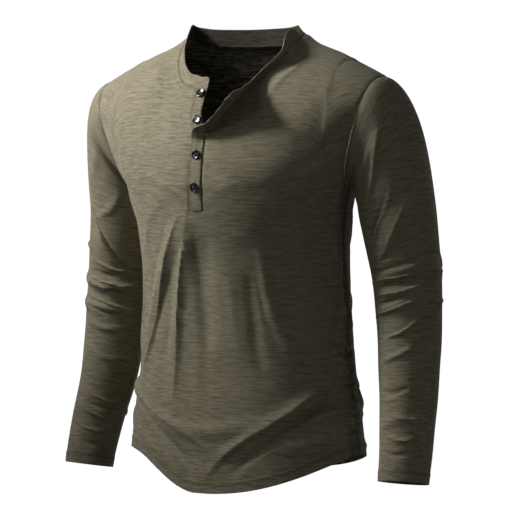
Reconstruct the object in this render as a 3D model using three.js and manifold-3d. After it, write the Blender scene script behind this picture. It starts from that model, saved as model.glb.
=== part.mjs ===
// A long-sleeved henley shirt in slub jersey, in the shape it has when it is worn, with nobody in it.
// Millimetres, +Z up, +X towards the wearer's left, the front faces -Y.
// The origin lies midway between the shoulders, at the height of the sides of the neck.
import * as THREE from "three";
import { mergeVertices } from "three/addons/utils/BufferGeometryUtils.js";
import Module from "manifold-3d";

const wasm = await Module();
wasm.setup();

// Cloth, the gap between two sewn pieces, and how much further a slanting cut edge is set back
const WALL = 1.8;
const SEAM = 0.3;
const SLANT = 0.05;

// Neck, shoulders and armholes
const NECK = { half: 90, frontDrop: 78, backDrop: 8, square: 2.1 };
const BAND = { height: 19, side: 15, apexUp: 155, upright: 0.9, leanOver: 70, endRound: 5 };
const SHOULDER = { tipX: 230, tipZ: -60, ridgeY: 16, reach: 285, crown: 4 };
const ARMPIT = { x: 182, z: -215 };
const CHEST_ROUND = 2.15;
const ARCH = { middle: 1.14, neck: 1.3, tip: 0.86, middleUp: 1.14, neckUp: 1.25, tipUp: 1.02 };

// Level sections of the body from the armpits down: half width, depth in front and behind, and middle's y
const BODY = [
  { z: -215, half: 182, front: 128, back: 112, middle: 0 },
  { z: -245, half: 173, front: 128, back: 109, middle: 4 },
  { z: -280, half: 166, front: 127, back: 105, middle: 9 },
  { z: -330, half: 164, front: 123, back: 98, middle: 14 },
  { z: -400, half: 166, front: 119, back: 94, middle: 17 },
  { z: -480, half: 171, front: 121, back: 98, middle: 19 },
  { z: -560, half: 181, front: 128, back: 108, middle: 20 },
  { z: -670, half: 192, front: 136, back: 118, middle: 20 },
];

// The hem is lowest at the middle of the front and the back, and highest at the side seams. The
// curves say how soon it rises: at the front it does so sooner on the wearer's right.
const HEM = { side: -606, front: -659, back: -644, leftCurve: 1.8, rightCurve: 9, backCurve: 2 };

// Front opening: its two strips are as wide as the slot, the over one raised, the under one below
const PLACKET = { half: 10, free: 8, wall: 1.6, raised: 0.5, under: 1.5, closedTo: -158, openFrom: -126 };

// The wearer's right edge of the opening is drawn aside above the third button
const ASIDE = { pull: 13, from: -148, to: -104, fade: 76 };

// The open corner of the front turns outwards about the line from its low point to its high one
const FLAP = { lowX: 9, lowZ: -150, highX: 89, highZ: -40, turn: 117, roll: 9, lowEase: 34, highEase: 58 };
const FLAP_SIDE = { x: -30, z: 18 };

// Left arm from below the armpit to the wrist: centre, and half sizes across and front to back
const ARM = [
  { z: -262, x: 244, y: 32, across: 54, through: 59 },
  { z: -330, x: 254, y: 36, across: 50, through: 54 },
  { z: -400, x: 261, y: 34, across: 47, through: 50 },
  { z: -480, x: 266, y: 25, across: 43.5, through: 46 },
  { z: -560, x: 270, y: 12, across: 39.5, through: 41 },
  { z: -640, x: 272, y: -3, across: 36, through: 37 },
];

// Sleeve head: how far the cloth runs on from the armhole, over the shoulder and under the arm
const HEAD = { over: 185, under: 45, down: 95, lean: 0.3 };

// How each arm differs from the table: closer to the body above the wrist, and the sleeve's foot
const LEFT = { mirror: 1, inner: 0, foot: -638 };
const RIGHT = { mirror: -1, inner: 17, foot: -645 };

// Folds of the body. u is the way round from the middle of the front, where the left side seam is at
// GIRTH and the middle of the back at twice GIRTH; sway and sag move the fold's middle; rise is its
// height, less than 0 for a trough, and wide is half its width.
const GIRTH = 235;
const BODY_FOLDS = [
  { u0: -17, z0: -247, u1: -125, z1: -484, sway: -6, sag: 0, rise: 6, wide: 19 },
  { u0: -7, z0: -256, u1: -42, z1: -514, sway: -14, sag: 0, rise: 5, wide: 17 },
  { u0: 6, z0: -285, u1: 12, z1: -450, sway: -8, sag: 0, rise: -4, wide: 19 },
  { u0: -160, z0: -510, u1: 110, z1: -540, sway: 0, sag: -44, rise: 8, wide: 19 },
  { u0: -110, z0: -548, u1: 70, z1: -612, sway: 0, sag: -26, rise: -6, wide: 17 },
  { u0: 232, z0: -492, u1: 84, z1: -566, sway: 0, sag: -8, rise: -6, wide: 16 },
  { u0: 250, z0: -530, u1: 90, z1: -592, sway: 0, sag: -14, rise: 6, wide: 17 },
  { u0: 190, z0: -385, u1: 275, z1: -424, sway: 0, sag: 4, rise: 4, wide: 17 },
  { u0: 200, z0: -462, u1: 290, z1: -440, sway: 0, sag: -4, rise: -4, wide: 16 },
  { u0: 318, z0: -235, u1: 396, z1: -470, sway: -10, sag: 0, rise: 5, wide: 19 },
  { u0: -325, z0: -245, u1: -400, z1: -486, sway: 8, sag: 0, rise: 5, wide: 19 },
  { u0: 452, z0: -265, u1: 436, z1: -455, sway: 6, sag: 0, rise: -4, wide: 20 },
  { u0: 262, z0: -512, u1: 448, z1: -548, sway: 0, sag: -30, rise: 7, wide: 18 },
  { u0: -245, z0: -492, u1: -438, z1: -540, sway: 0, sag: -32, rise: 7, wide: 18 },
  { u0: -262, z0: -540, u1: -425, z1: -588, sway: 0, sag: -18, rise: -6, wide: 16 },
  { u0: 300, z0: -562, u1: 452, z1: -604, sway: 0, sag: -14, rise: -5, wide: 16 },
];

// Folds of the sleeves. a is the angle round the arm in degrees, 0 on its outer side and 90 in
// front; h is the height on the arm, and at the armhole HEAD_RUN above the head's foot.
const HEAD_RUN = 130;
const LEFT_FOLDS = [
  { a0: 165, h0: -222, a1: 70, h1: -178, sag: 6, rise: 5, wide: 15 },
  { a0: 112, h0: -322, a1: 44, h1: -240, sag: 0, rise: 6, wide: 14 },
  { a0: 122, h0: -346, a1: -10, h1: -332, sag: 4, rise: 6, wide: 12 },
  { a0: 118, h0: -371, a1: -32, h1: -342, sag: -8, rise: 6, wide: 12 },
  { a0: 135, h0: -399, a1: 20, h1: -366, sag: -4, rise: 5, wide: 12 },
  { a0: 250, h0: -352, a1: 340, h1: -330, sag: 8, rise: 5, wide: 14 },
  { a0: 235, h0: -388, a1: 325, h1: -372, sag: -6, rise: 5, wide: 13 },
  { a0: 60, h0: -548, a1: 140, h1: -566, sag: 0, rise: 3.5, wide: 13 },
  { a0: 210, h0: -240, a1: 300, h1: -200, sag: 6, rise: 5, wide: 15 },
];
const RIGHT_FOLDS = [
  { a0: 160, h0: -214, a1: 66, h1: -170, sag: 5, rise: 5, wide: 15 },
  { a0: 62, h0: -288, a1: 120, h1: -340, sag: 0, rise: 5, wide: 14 },
  { a0: 20, h0: -358, a1: 165, h1: -371, sag: -8, rise: 7, wide: 13 },
  { a0: 46, h0: -374, a1: 106, h1: -398, sag: 0, rise: -4, wide: 11 },
  { a0: 20, h0: -398, a1: 165, h1: -412, sag: -3, rise: 6, wide: 13 },
  { a0: 230, h0: -345, a1: 330, h1: -350, sag: 6, rise: 5, wide: 14 },
  { a0: 220, h0: -386, a1: 320, h1: -392, sag: -5, rise: 5, wide: 13 },
  { a0: 50, h0: -556, a1: 140, h1: -572, sag: 0, rise: 3.5, wide: 13 },
  { a0: 215, h0: -236, a1: 300, h1: -196, sag: 6, rise: 5, wide: 15 },
];

// A fold's height near its ends, the arm's radius that its folds are measured on, and the rows
// below the armhole over which a sleeve's folds begin
const FOLD_FADE = 0.7;
const ARM_ROUND = 48;
const FOLD_ROWS = 3;

// Numbers of steps in the cloth; the columns stand closer at the neck's sides, and sweep towards it
const STEPS = { body: 24, armhole: 13, slot: 2, shoulder: 5, neck: 8, head: 8, arm: 17, band: 2 };
const NECK_SPREAD = 1.6;
const COLUMN_SWEEP = 1.4;

// Four-hole button: a round rim, a slope down from it, and a dished middle
const BUTTON = { radius: 6.6, thick: 3.2, rim: 1.6, slope: 0.6, dish: 1, lift: 0.3, sides: 20, rimSteps: 4 };
const HOLE = { count: 4, radius: 0.9, at: 1.7, sides: 6, depth: 10 };
const BUTTONS = [
  { name: "button_1", z: -84, strip: "under" },
  { name: "button_2", z: -122, strip: "under" },
  { name: "button_3", z: -172, strip: "over" },
  { name: "button_4", z: -218, strip: "over" },
];

// Length over which a direction is taken, and the size below which two points are one
const NEAR = 10;
const TINY = 1e-3;
const MERGE = 1e-5;

const QUARTER = Math.PI / 2;
const vec = (x, y, z) => new THREE.Vector3(x, y, z);
const mix = (a, b, t) => a + (b - a) * t;
const clamp = (t) => Math.min(1, Math.max(0, t));
const smooth = (t) => clamp(t) ** 2 * (3 - 2 * clamp(t));

// A smooth curve through the rows of a table whose z falls from row to row
function along(table, z) {
  const last = table.length - 1;
  let k = 0;
  while (k < last - 1 && z < table[k + 1].z) k += 1;
  const [a, b] = [table[k], table[k + 1]];
  const [before, after] = [table[Math.max(k - 1, 0)], table[Math.min(k + 2, last)]];
  const span = b.z - a.z;
  const t = (z - a.z) / span;
  const row = {};
  for (const name of Object.keys(a)) {
    const slopeA = ((b[name] - before[name]) / (b.z - before.z)) * span;
    const slopeB = ((after[name] - a[name]) / (after.z - a.z)) * span;
    row[name] =
      (2 * t ** 3 - 3 * t ** 2 + 1) * a[name] +
      (t ** 3 - 2 * t ** 2 + t) * slopeA +
      (3 * t ** 2 - 2 * t ** 3) * b[name] +
      (t ** 3 - t ** 2) * slopeB;
  }
  return row;
}

// Upper body: an arch over the shoulders, where rise goes from 0 at the armpit to 1 on the ridge.
// It is flattest beside the neck, where the front slopes straight down from the shoulder.
function archAt(x) {
  const size = Math.abs(x);
  const beyondNeck = clamp((size - NECK.half) / (SHOULDER.tipX - NECK.half));
  const nearNeck = smooth(size / NECK.half);
  return {
    beyondNeck,
    out: mix(mix(ARCH.middle, ARCH.neck, nearNeck), ARCH.tip, beyondNeck),
    up: mix(mix(ARCH.middleUp, ARCH.neckUp, nearNeck), ARCH.tipUp, beyondNeck),
  };
}
const ridgeHeight = (share) => SHOULDER.tipZ * share + SHOULDER.crown * Math.sin(Math.PI * share);
function upper(side, x, rise) {
  const angle = rise * QUARTER;
  const half = mix(ARMPIT.x, SHOULDER.reach, Math.sin(angle));
  const depth = side < 0 ? BODY[0].front : BODY[0].back;
  const rounded = (1 - clamp(Math.abs(x) / half) ** CHEST_ROUND) ** (1 / CHEST_ROUND);
  const arch = archAt(x);
  const y = side * depth * rounded * Math.max(0, Math.cos(angle)) ** arch.out;
  const z = mix(ARMPIT.z, ridgeHeight(arch.beyondNeck), Math.sin(angle) ** arch.up);
  return vec(x, y + SHOULDER.ridgeY * rise ** 2, z);
}
const riseAt = (x, z) => {
  const arch = archAt(x);
  const share = (z - ARMPIT.z) / (ridgeHeight(arch.beyondNeck) - ARMPIT.z);
  return Math.asin(clamp(share) ** (1 / arch.up)) / QUARTER;
};

// Lower body: level sections, where turn runs from -1 at one side seam to 1 at the other
const power = (value, exponent) => Math.sign(value) * Math.abs(value) ** exponent;
const turnAt = (x, half) => Math.asin(power(clamp(Math.abs(x) / half), CHEST_ROUND / 2)) / QUARTER;
function lower(side, turn, z) {
  const section = along(BODY, z);
  const depth = side < 0 ? section.front : section.back;
  const x = section.half * power(Math.sin(turn * QUARTER), 2 / CHEST_ROUND);
  const y = side * depth * Math.max(0, Math.cos(turn * QUARTER)) ** (2 / CHEST_ROUND);
  return vec(x, section.middle + y, z);
}

const armholeX = (rise) => mix(ARMPIT.x, SHOULDER.tipX, 1 - (1 - rise) ** 2);

// The neckline is a squared oval seen from the front: share goes from 0 at its side to 1 in the middle
function neckline(side, share) {
  const drop = side < 0 ? NECK.frontDrop : NECK.backDrop;
  const x = NECK.half * Math.max(0, Math.cos(share * QUARTER)) ** (2 / NECK.square);
  const z = -drop * Math.sin(share * QUARTER) ** (2 / NECK.square);
  return { x, rise: riseAt(x, z) };
}

function hemHeight(side, turn, curve) {
  const middle = Math.max(0, Math.cos(turn * QUARTER));
  return mix(HEM.side, side < 0 ? HEM.front : HEM.back, middle ** curve);
}

// Where the columns meet the top edge, from the slot or the middle line out to the shoulder tip
function columnTops(side, start) {
  const last = Math.acos((start / NECK.half) ** (NECK.square / 2)) / QUARTER;
  const tops = [];
  for (let i = 0; i <= STEPS.neck; i += 1) {
    tops.push(neckline(side, last * (1 - i / STEPS.neck) ** NECK_SPREAD));
  }
  for (let i = 1; i <= STEPS.shoulder; i += 1) {
    tops.push({ x: mix(NECK.half, SHOULDER.tipX, i / STEPS.shoulder), rise: 1 });
  }
  return tops;
}

// One body column: even is its share of the way from the middle to the side seam, and the columns
// beside the slot start at the hem's lowest height
function bodyColumn(side, top, even, isSlot, curve) {
  const column = [];
  const hem = hemHeight(side, isSlot ? 0 : even, curve);
  const turnOn = (z) => (isSlot ? turnAt(top.x, along(BODY, z).half) : even);
  for (let j = 0; j < STEPS.body; j += 1) {
    const z = mix(hem, ARMPIT.z, j / STEPS.body);
    column.push(lower(side, turnOn(z), z));
  }
  const share = lower(side, turnOn(ARMPIT.z), ARMPIT.z).x / ARMPIT.x;
  for (let j = 0; j <= STEPS.armhole; j += 1) {
    const climb = j / STEPS.armhole;
    const rise = top.rise * climb;
    const x = mix(share * armholeX(rise), top.x, climb ** COLUMN_SWEEP);
    column.push(upper(side, isSlot ? top.x : x, rise));
  }
  return column;
}

function bodyPanel(side, start) {
  const tops = columnTops(side, start);
  const startTurn = turnAt(start, BODY[BODY.length - 1].half);
  const half = (curve) =>
    tops.map((top, k) => {
      const even = mix(startTurn, 1, k / (tops.length - 1));
      return bodyColumn(side, top, even, start > 0 && k === 0, curve);
    });
  const left = half(side < 0 ? HEM.leftCurve : HEM.backCurve);
  const right = half(side < 0 ? HEM.rightCurve : HEM.backCurve).slice(start > 0 ? 0 : 1);
  const mirrored = right.map((column) => column.map((p) => vec(-p.x, p.y, p.z)));
  return [...mirrored.reverse(), ...left];
}

// One fold: a soft ridge or trough along a bent line, fading out at both ends
function foldHeight(fold, from, to, middle, at) {
  const run = { x: to.x - from.x, z: to.z - from.z };
  const length = Math.hypot(run.x, run.z);
  const t = clamp(((at.x - from.x) * run.x + (at.z - from.z) * run.z) / length ** 2);
  const bend = 4 * t * (1 - t);
  const awayX = at.x - from.x - run.x * t - middle.x * bend;
  const awayZ = at.z - from.z - run.z * t - middle.z * bend;
  const off = clamp(Math.abs(awayX * run.z - awayZ * run.x) / (length * fold.wide));
  return fold.rise * bend ** FOLD_FADE * (1 - off ** 2) ** 2;
}
const bodyFolds = (u, z) =>
  BODY_FOLDS.reduce((sum, f) => {
    const [from, to] = [{ x: f.u0, z: f.z0 }, { x: f.u1, z: f.z1 }];
    return sum + foldHeight(f, from, to, { x: f.sway, z: f.sag }, { x: u, z });
  }, 0);
function sleeveFolds(table, angle, height) {
  return table.reduce((sum, f) => {
    const round = (a) => THREE.MathUtils.degToRad(a) * ARM_ROUND;
    const [from, to] = [{ x: round(f.a0), z: f.h0 }, { x: round(f.a1), z: f.h1 }];
    const here = [0, 360, -360].map((whole) => ({ x: round(angle + whole), z: height }));
    return sum + here.reduce((most, at) => most + foldHeight(f, from, to, { x: 0, z: f.sag }, at), 0);
  }, 0);
}

// The turned-out corner: the cloth rolls over the fold line and then runs on straight
const foldFrame = (() => {
  const onChest = (x, z) => upper(-1, x, riseAt(x, z));
  const low = onChest(FLAP.lowX, FLAP.lowZ);
  const high = onChest(FLAP.highX, FLAP.highZ);
  const line = high.clone().sub(low);
  const length = line.length();
  line.normalize();
  const middle = (FLAP.lowX + FLAP.highX) / 2;
  const height = (FLAP.lowZ + FLAP.highZ) / 2;
  const across = onChest(middle + FLAP_SIDE.x, height + FLAP_SIDE.z).sub(onChest(middle, height));
  const out = line.clone().cross(across).normalize();
  const inward = out.clone().cross(line).normalize();
  return { low, line, length, out, inward };
})();

function turnOut(p) {
  const { low, line, length, out, inward } = foldFrame;
  const from = p.clone().sub(low);
  const across = from.dot(inward);
  if (across <= 0) return p.clone();
  const up = from.dot(line);
  const height = from.dot(out);
  const foot = smooth((up + FLAP.lowEase / 2) / FLAP.lowEase);
  const head = smooth((length + FLAP.highEase - up) / FLAP.highEase);
  const full = THREE.MathUtils.degToRad(FLAP.turn) * foot * head;
  const angle = Math.min(across / FLAP.roll, full);
  const rest = Math.max(0, across - FLAP.roll * full);
  const inPlane = FLAP.roll * Math.sin(angle) + rest * Math.cos(angle) - height * Math.sin(angle);
  const outwards = FLAP.roll * (1 - Math.cos(angle)) + rest * Math.sin(angle) + height * Math.cos(angle);
  return low
    .clone()
    .addScaledVector(line, up)
    .addScaledVector(inward, inPlane)
    .addScaledVector(out, outwards);
}

// The other side of the opening slides over the chest, most at the slot and least beside the neck
const asideAt = (x, z) => {
  const height = smooth((z - ASIDE.from) / (ASIDE.to - ASIDE.from));
  return ASIDE.pull * height * (1 - smooth((-x - PLACKET.half) / ASIDE.fade));
};
function drawAside(p) {
  if (p.z <= ASIDE.from) return p.clone();
  const x = p.x - asideAt(p.x, p.z);
  return vec(x, p.y + upper(-1, x, riseAt(x, p.z)).y - upper(-1, p.x, riseAt(p.x, p.z)).y, p.z);
}

// A strip of the front opening between the slot's edges, from the slot's foot up to the neckline
const stripColumn = (x, edge) => edge.map((p) => vec(x, p.y, p.z));

// The neckband stands up at the shoulders and all down the side that is turned out. Towards the
// other side's front end it leans more and more to a point above the neck.
function bandColumn(foot, height) {
  const forward = clamp((SHOULDER.ridgeY - foot.y) / BAND.leanOver);
  const upright = foot.x > 0 ? BAND.upright : BAND.upright * (1 - forward);
  const lean = vec(foot.x * upright, SHOULDER.ridgeY, BAND.apexUp).sub(foot).normalize();
  const column = [];
  for (let j = 0; j <= STEPS.band; j += 1) {
    column.push(foot.clone().addScaledVector(lean, (height * j) / STEPS.band));
  }
  return column;
}

// A sleeve hangs from the armhole's ring of points, with its rings square to the arm
function sleeve(ring, arm) {
  const { mirror } = arm;
  const count = ring.length;
  return ring.map((start, i) => {
    const around = (i / count) * 2 * Math.PI;
    const at = (z) => {
      const row = along(ARM, z);
      const above = along(ARM, z + 1);
      const sideways = vec(1, 0, row.x - above.x).normalize().multiplyScalar(row.across * Math.cos(around));
      const forwards = vec(0, 1, row.y - above.y).normalize().multiplyScalar(-row.through * Math.sin(around));
      const closer = arm.inner * smooth((z - ARM[ARM.length - 1].z) / (ARM[3].z - ARM[ARM.length - 1].z));
      const p = vec(row.x - closer, row.y, z).add(sideways).add(forwards);
      return vec(mirror * p.x, p.y, p.z);
    };
    const top = at(ARM[0].z);
    const over = (1 + Math.cos(around)) / 2;
    const pull = mix(HEAD.under, HEAD.over, over);
    const leave = vec(mirror * 1, 0, -HEAD.lean).normalize().multiplyScalar(pull);
    const arrive = at(ARM[0].z - NEAR).sub(top).normalize().multiplyScalar(HEAD.down);
    const column = [];
    for (let j = 0; j < STEPS.head; j += 1) {
      const t = j / STEPS.head;
      column.push(
        vec(0, 0, 0)
          .addScaledVector(start, 2 * t ** 3 - 3 * t ** 2 + 1)
          .addScaledVector(leave, t ** 3 - 2 * t ** 2 + t)
          .addScaledVector(top, 3 * t ** 2 - 2 * t ** 3)
          .addScaledVector(arrive, t ** 3 - t ** 2)
      );
    }
    for (let j = 0; j <= STEPS.arm; j += 1) column.push(at(mix(ARM[0].z, arm.foot, j / STEPS.arm)));
    return column;
  });
}

// Sewing: pieces that share an edge get one direction for their cut edges there, and part by the seam
function piece(name, cloth, points, options = {}) {
  const { closed = false, missing = () => false, flip = 1, wall = WALL } = options;
  const { raised = () => 0, fold = () => 0 } = options;
  const columns = points.length;
  const rows = points[0].length;
  const cells = [];
  for (let i = 0; i < columns - (closed ? 0 : 1); i += 1) {
    for (let j = 0; j < rows - 1; j += 1) if (!missing(i, j)) cells.push([i, j]);
  }
  const at = (i, j) => (i % columns) * rows + j;
  const corners = ([i, j]) => [at(i, j), at(i + 1, j), at(i + 1, j + 1), at(i, j + 1)];
  const flat = points.flat();
  const normals = flat.map(() => vec(0, 0, 0));
  const inside = flat.map(() => vec(0, 0, 0));
  const uses = new Map();
  for (const cell of cells) {
    const quad = corners(cell);
    const [a, b, c, d] = quad.map((k) => flat[k]);
    const normal = c.clone().sub(a).cross(d.clone().sub(b)).multiplyScalar(flip);
    const centre = a.clone().add(b).add(c).add(d).multiplyScalar(0.25);
    quad.forEach((k, n) => {
      normals[k].add(normal);
      inside[k].add(centre.clone().sub(flat[k]));
      const edge = [k, quad[(n + 1) % 4]];
      const key = [...edge].sort((p, q) => p - q).join();
      uses.set(key, uses.has(key) ? null : edge);
    });
  }
  normals.forEach((n) => n.normalize());
  const rims = [...uses.values()].filter(Boolean);
  const folds = flat.map((_, k) => fold(Math.floor(k / rows), k % rows));
  return { name, cloth, flat, normals, inside, cells, corners, rims, wall, raised, rows, flip, folds };
}

function sew(pieces) {
  const groups = new Map();
  for (const one of pieces) {
    for (const k of new Set(one.rims.flat())) {
      const p = one.flat[k];
      const key = [p.x, p.y, p.z].map((value) => Math.round(value / TINY)).join();
      if (!groups.has(key)) groups.set(key, []);
      groups.get(key).push({ one, k });
    }
  }
  for (const group of groups.values()) {
    if (group.length < 2) continue;
    const perCloth = new Map();
    for (const { one, k } of group) {
      if (!perCloth.has(one.cloth)) perCloth.set(one.cloth, vec(0, 0, 0));
      perCloth.get(one.cloth).add(one.normals[k]);
    }
    const shared = vec(0, 0, 0);
    for (const n of perCloth.values()) shared.add(n.normalize());
    shared.normalize();
    for (const { one, k } of group) {
      const back = one.inside[k];
      back.addScaledVector(shared, -back.dot(shared)).normalize();
      one.normals[k].copy(shared);
      one.flat[k] = one.flat[k].clone().addScaledVector(back, SEAM / 2 + SLANT);
    }
  }
}

// The wall of cloth: outer points, inner points one wall deeper, and rims round every edge
function solid(one) {
  const { flat, normals, cells, corners, rims, wall, raised, rows, flip, folds } = one;
  const lift = (k) => raised(Math.floor(k / rows), k % rows) + folds[k];
  const outer = flat.map((p, k) => p.clone().addScaledVector(normals[k], lift(k)));
  const inner = outer.map((p, k) => p.clone().addScaledVector(normals[k], -wall));
  const total = flat.length;
  const faces = [];
  const quad = (a, b, c, d) => faces.push(...(flip > 0 ? [a, b, c, a, c, d] : [a, c, b, a, d, c]));
  for (const cell of cells) {
    let [a, b, c, d] = corners(cell);
    if (outer[b].distanceTo(outer[d]) < outer[a].distanceTo(outer[c])) [a, b, c, d] = [b, c, d, a];
    quad(a, b, c, d);
    quad(total + a, total + d, total + c, total + b);
  }
  for (const [a, b] of rims) quad(b, a, total + a, total + b);
  const geometry = new THREE.BufferGeometry();
  const numbers = [...outer, ...inner].flatMap((p) => p.toArray());
  geometry.setAttribute("position", new THREE.Float32BufferAttribute(numbers, 3));
  geometry.setIndex(faces);
  const used = mergeVertices(geometry.toNonIndexed(), MERGE);
  used.computeVertexNormals();
  return used;
}

const shirt = new THREE.Group();
const finishes = {
  cloth: { color: 0x5a5340, roughness: 0.95, metalness: 0 },
  gloss: { color: 0x0b0b0d, roughness: 0.18, metalness: 0 },
};
function add(name, geometry, finish) {
  const mesh = new THREE.Mesh(geometry, new THREE.MeshStandardMaterial(finishes[finish]));
  mesh.name = name;
  shirt.add(mesh);
  return mesh;
}

// Body
const frontFlat = bodyPanel(-1, PLACKET.half);
const backFlat = bodyPanel(1, 0);
const slotLeft = frontFlat.length / 2;
const slotRight = slotLeft - 1;
const slotFoot = STEPS.body - STEPS.slot;
const topRow = STEPS.body + STEPS.armhole;
const frontPoints = frontFlat.map((column, i) => column.map(i >= slotLeft ? turnOut : drawAside));
function bodyFold(side, columns) {
  return (i, j) => {
    if (j >= STEPS.body) return 0;
    const p = columns[i][j];
    const turn = Math.sign(p.x) * turnAt(p.x, along(BODY, p.z).half);
    const u = side < 0 ? turn : 2 * (p.x < 0 ? -1 : 1) - turn;
    return bodyFolds(u * GIRTH, p.z);
  };
}
const front = piece("front", "body", frontPoints, {
  missing: (i, j) => i === slotRight && j >= slotFoot,
  fold: bodyFold(-1, frontFlat),
});
const back = piece("back", "body", backFlat, { flip: -1, fold: bodyFold(1, backFlat) });

// Placket strips: columns across the slot, from one edge to the other
const stripRows = frontFlat[slotRight].slice(slotFoot);
const across = [PLACKET.half, 0, -PLACKET.half];
const acrossUnder = [PLACKET.free, 0, -PLACKET.half];
const closedShare = (z) => 1 - smooth((z - PLACKET.closedTo) / (PLACKET.openFrom - PLACKET.closedTo));
const overPoints = across.map((x) => stripColumn(x, stripRows).map(turnOut));
const over = piece("placket_over", "over", overPoints, {
  flip: -1,
  wall: PLACKET.wall,
  raised: () => PLACKET.raised,
});
const underPoints = acrossUnder.map((x) => stripColumn(x, stripRows).map(drawAside));
const under = piece("placket_under", "under", underPoints, {
  flip: -1,
  wall: PLACKET.wall,
  raised: (i, j) => -PLACKET.under * closedShare(stripRows[j].z),
});

// Sleeves: the ring runs from the shoulder tip down the front to the armpit and up the back
function armholeRing(frontColumn, backColumn) {
  const down = frontColumn.slice(STEPS.body).reverse();
  const up = backColumn.slice(STEPS.body + 1, topRow);
  return [...down, ...up];
}
const leftRing = armholeRing(frontPoints.at(-1), backFlat.at(-1));
const rightRing = armholeRing(frontPoints[0], backFlat[0]);
function sleeveFold(table, arm, count) {
  return (i, j) => {
    const inHead = j < STEPS.head;
    const height = inHead
      ? ARM[0].z + HEAD_RUN * (1 - j / STEPS.head)
      : mix(ARM[0].z, arm.foot, (j - STEPS.head) / STEPS.arm);
    return smooth(j / FOLD_ROWS) * sleeveFolds(table, (360 * i) / count, height);
  };
}
const sleeveLeft = piece("sleeve_left", "left", sleeve(leftRing, LEFT), {
  closed: true,
  fold: sleeveFold(LEFT_FOLDS, LEFT, leftRing.length),
});
const sleeveRight = piece("sleeve_right", "right", sleeve(rightRing, RIGHT), {
  closed: true,
  flip: -1,
  fold: sleeveFold(RIGHT_FOLDS, RIGHT, rightRing.length),
});

// Neckband: from the end of the under placket round the back of the neck to the end of the over one
function neckOf(columns, sign) {
  const ends = columns.map((column) => column.at(-1));
  return ends.filter((p) => Math.abs(p.x) <= NECK.half + TINY && Math.sign(Math.round(p.x)) === sign);
}
const feet = [
  ...underPoints.map((column) => column.at(-1)),
  ...neckOf(frontPoints.slice(0, slotLeft), -1).reverse().slice(1),
  ...neckOf(backFlat, -1).slice(1),
  ...neckOf(backFlat, 0),
  ...neckOf(backFlat, 1).slice(0, -1),
  ...neckOf(frontFlat, 1).reverse(),
  ...across.slice(1).map((x) => vec(x, stripRows.at(-1).y, stripRows.at(-1).z)),
];
const firstOpen = feet.length - (STEPS.neck + across.length);
const bandPoints = feet.map((foot, i) => {
  const fromEnd = Math.min(i, feet.length - 1 - i);
  const sideways = clamp(Math.abs(foot.x) / NECK.half) ** 4;
  const height = mix(BAND.height, BAND.side, sideways) - (fromEnd === 0 ? BAND.endRound : 0);
  const column = bandColumn(foot, height);
  return i >= firstOpen ? column.map(turnOut) : column;
});
const band = piece("neckband", "neck", bandPoints, { flip: -1 });

const cloths = [front, back, sleeveLeft, sleeveRight, band, over, under];
sew(cloths);
for (const one of cloths) add(one.name, solid(one), "cloth");

// Buttons: a thick disc turned from half its section, with the holes drilled through
function buttonSolid() {
  const { radius, thick, rim, slope, dish, sides, rimSteps } = BUTTON;
  const curve = rim / 2;
  const inRim = radius - curve;
  const profile = [new THREE.Vector2(0, 0), new THREE.Vector2(inRim, 0)];
  for (let k = 1; k <= rimSteps; k += 1) {
    const angle = -QUARTER + (k / rimSteps) * Math.PI;
    const middle = k <= rimSteps / 2 ? curve : thick - curve;
    profile.push(new THREE.Vector2(inRim + curve * Math.cos(angle), middle + curve * Math.sin(angle)));
  }
  profile.push(new THREE.Vector2(radius - rim, thick - curve));
  profile.push(new THREE.Vector2(radius - rim - slope, thick - dish));
  profile.push(new THREE.Vector2(0, thick - dish));
  let body = manifoldOf(new THREE.LatheGeometry(profile, sides).rotateX(QUARTER));
  for (let k = 0; k < HOLE.count; k += 1) {
    const angle = ((k + 0.5) / HOLE.count) * 4 * QUARTER;
    const drill = new THREE.CylinderGeometry(HOLE.radius, HOLE.radius, HOLE.depth, HOLE.sides);
    drill.rotateX(QUARTER);
    drill.translate(HOLE.at * Math.cos(angle), HOLE.at * Math.sin(angle), 0);
    body = body.subtract(manifoldOf(drill));
  }
  const mesh = body.getMesh();
  const geometry = new THREE.BufferGeometry();
  geometry.setAttribute("position", new THREE.BufferAttribute(mesh.vertProperties, 3));
  geometry.setIndex(new THREE.BufferAttribute(mesh.triVerts, 1));
  geometry.computeVertexNormals();
  return geometry;
}

function manifoldOf(geometry) {
  for (const name of ["normal", "uv"]) geometry.deleteAttribute(name);
  const merged = mergeVertices(geometry, MERGE);
  const vertProperties = merged.attributes.position.array;
  const triVerts = new Uint32Array(merged.index.array);
  return new wasm.Manifold(new wasm.Mesh({ numProp: 3, vertProperties, triVerts }));
}

for (const { name, z, strip } of BUTTONS) {
  const isOver = strip === "over";
  const [leftEdge, middle, rightEdge] = isOver ? overPoints : underPoints;
  const above = middle.findIndex((p) => p.z > z);
  const [low, high] = [middle[above - 1], middle[above]];
  const level = isOver ? PLACKET.raised : -PLACKET.under * closedShare(z);
  const toLeft = leftEdge[above].clone().sub(rightEdge[above]);
  const out = toLeft.cross(high.clone().sub(low)).normalize();
  const spot = low.clone().lerp(high, (z - low.z) / (high.z - low.z));
  spot.addScaledVector(out, level + BUTTON.lift);
  const mesh = add(name, buttonSolid(), "gloss");
  mesh.position.copy(spot);
  mesh.quaternion.setFromUnitVectors(vec(0, 0, 1), out);
}

export default shirt;
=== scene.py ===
"""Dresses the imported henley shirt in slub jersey, with its folds, hems, stitching and glossy buttons.

The shapes follow the part's own formulas and sizes, in millimetres, on finer grids. +Z is up, +X is
towards the wearer's left and the front faces -Y. Meshes are made in metres.
"""

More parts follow.
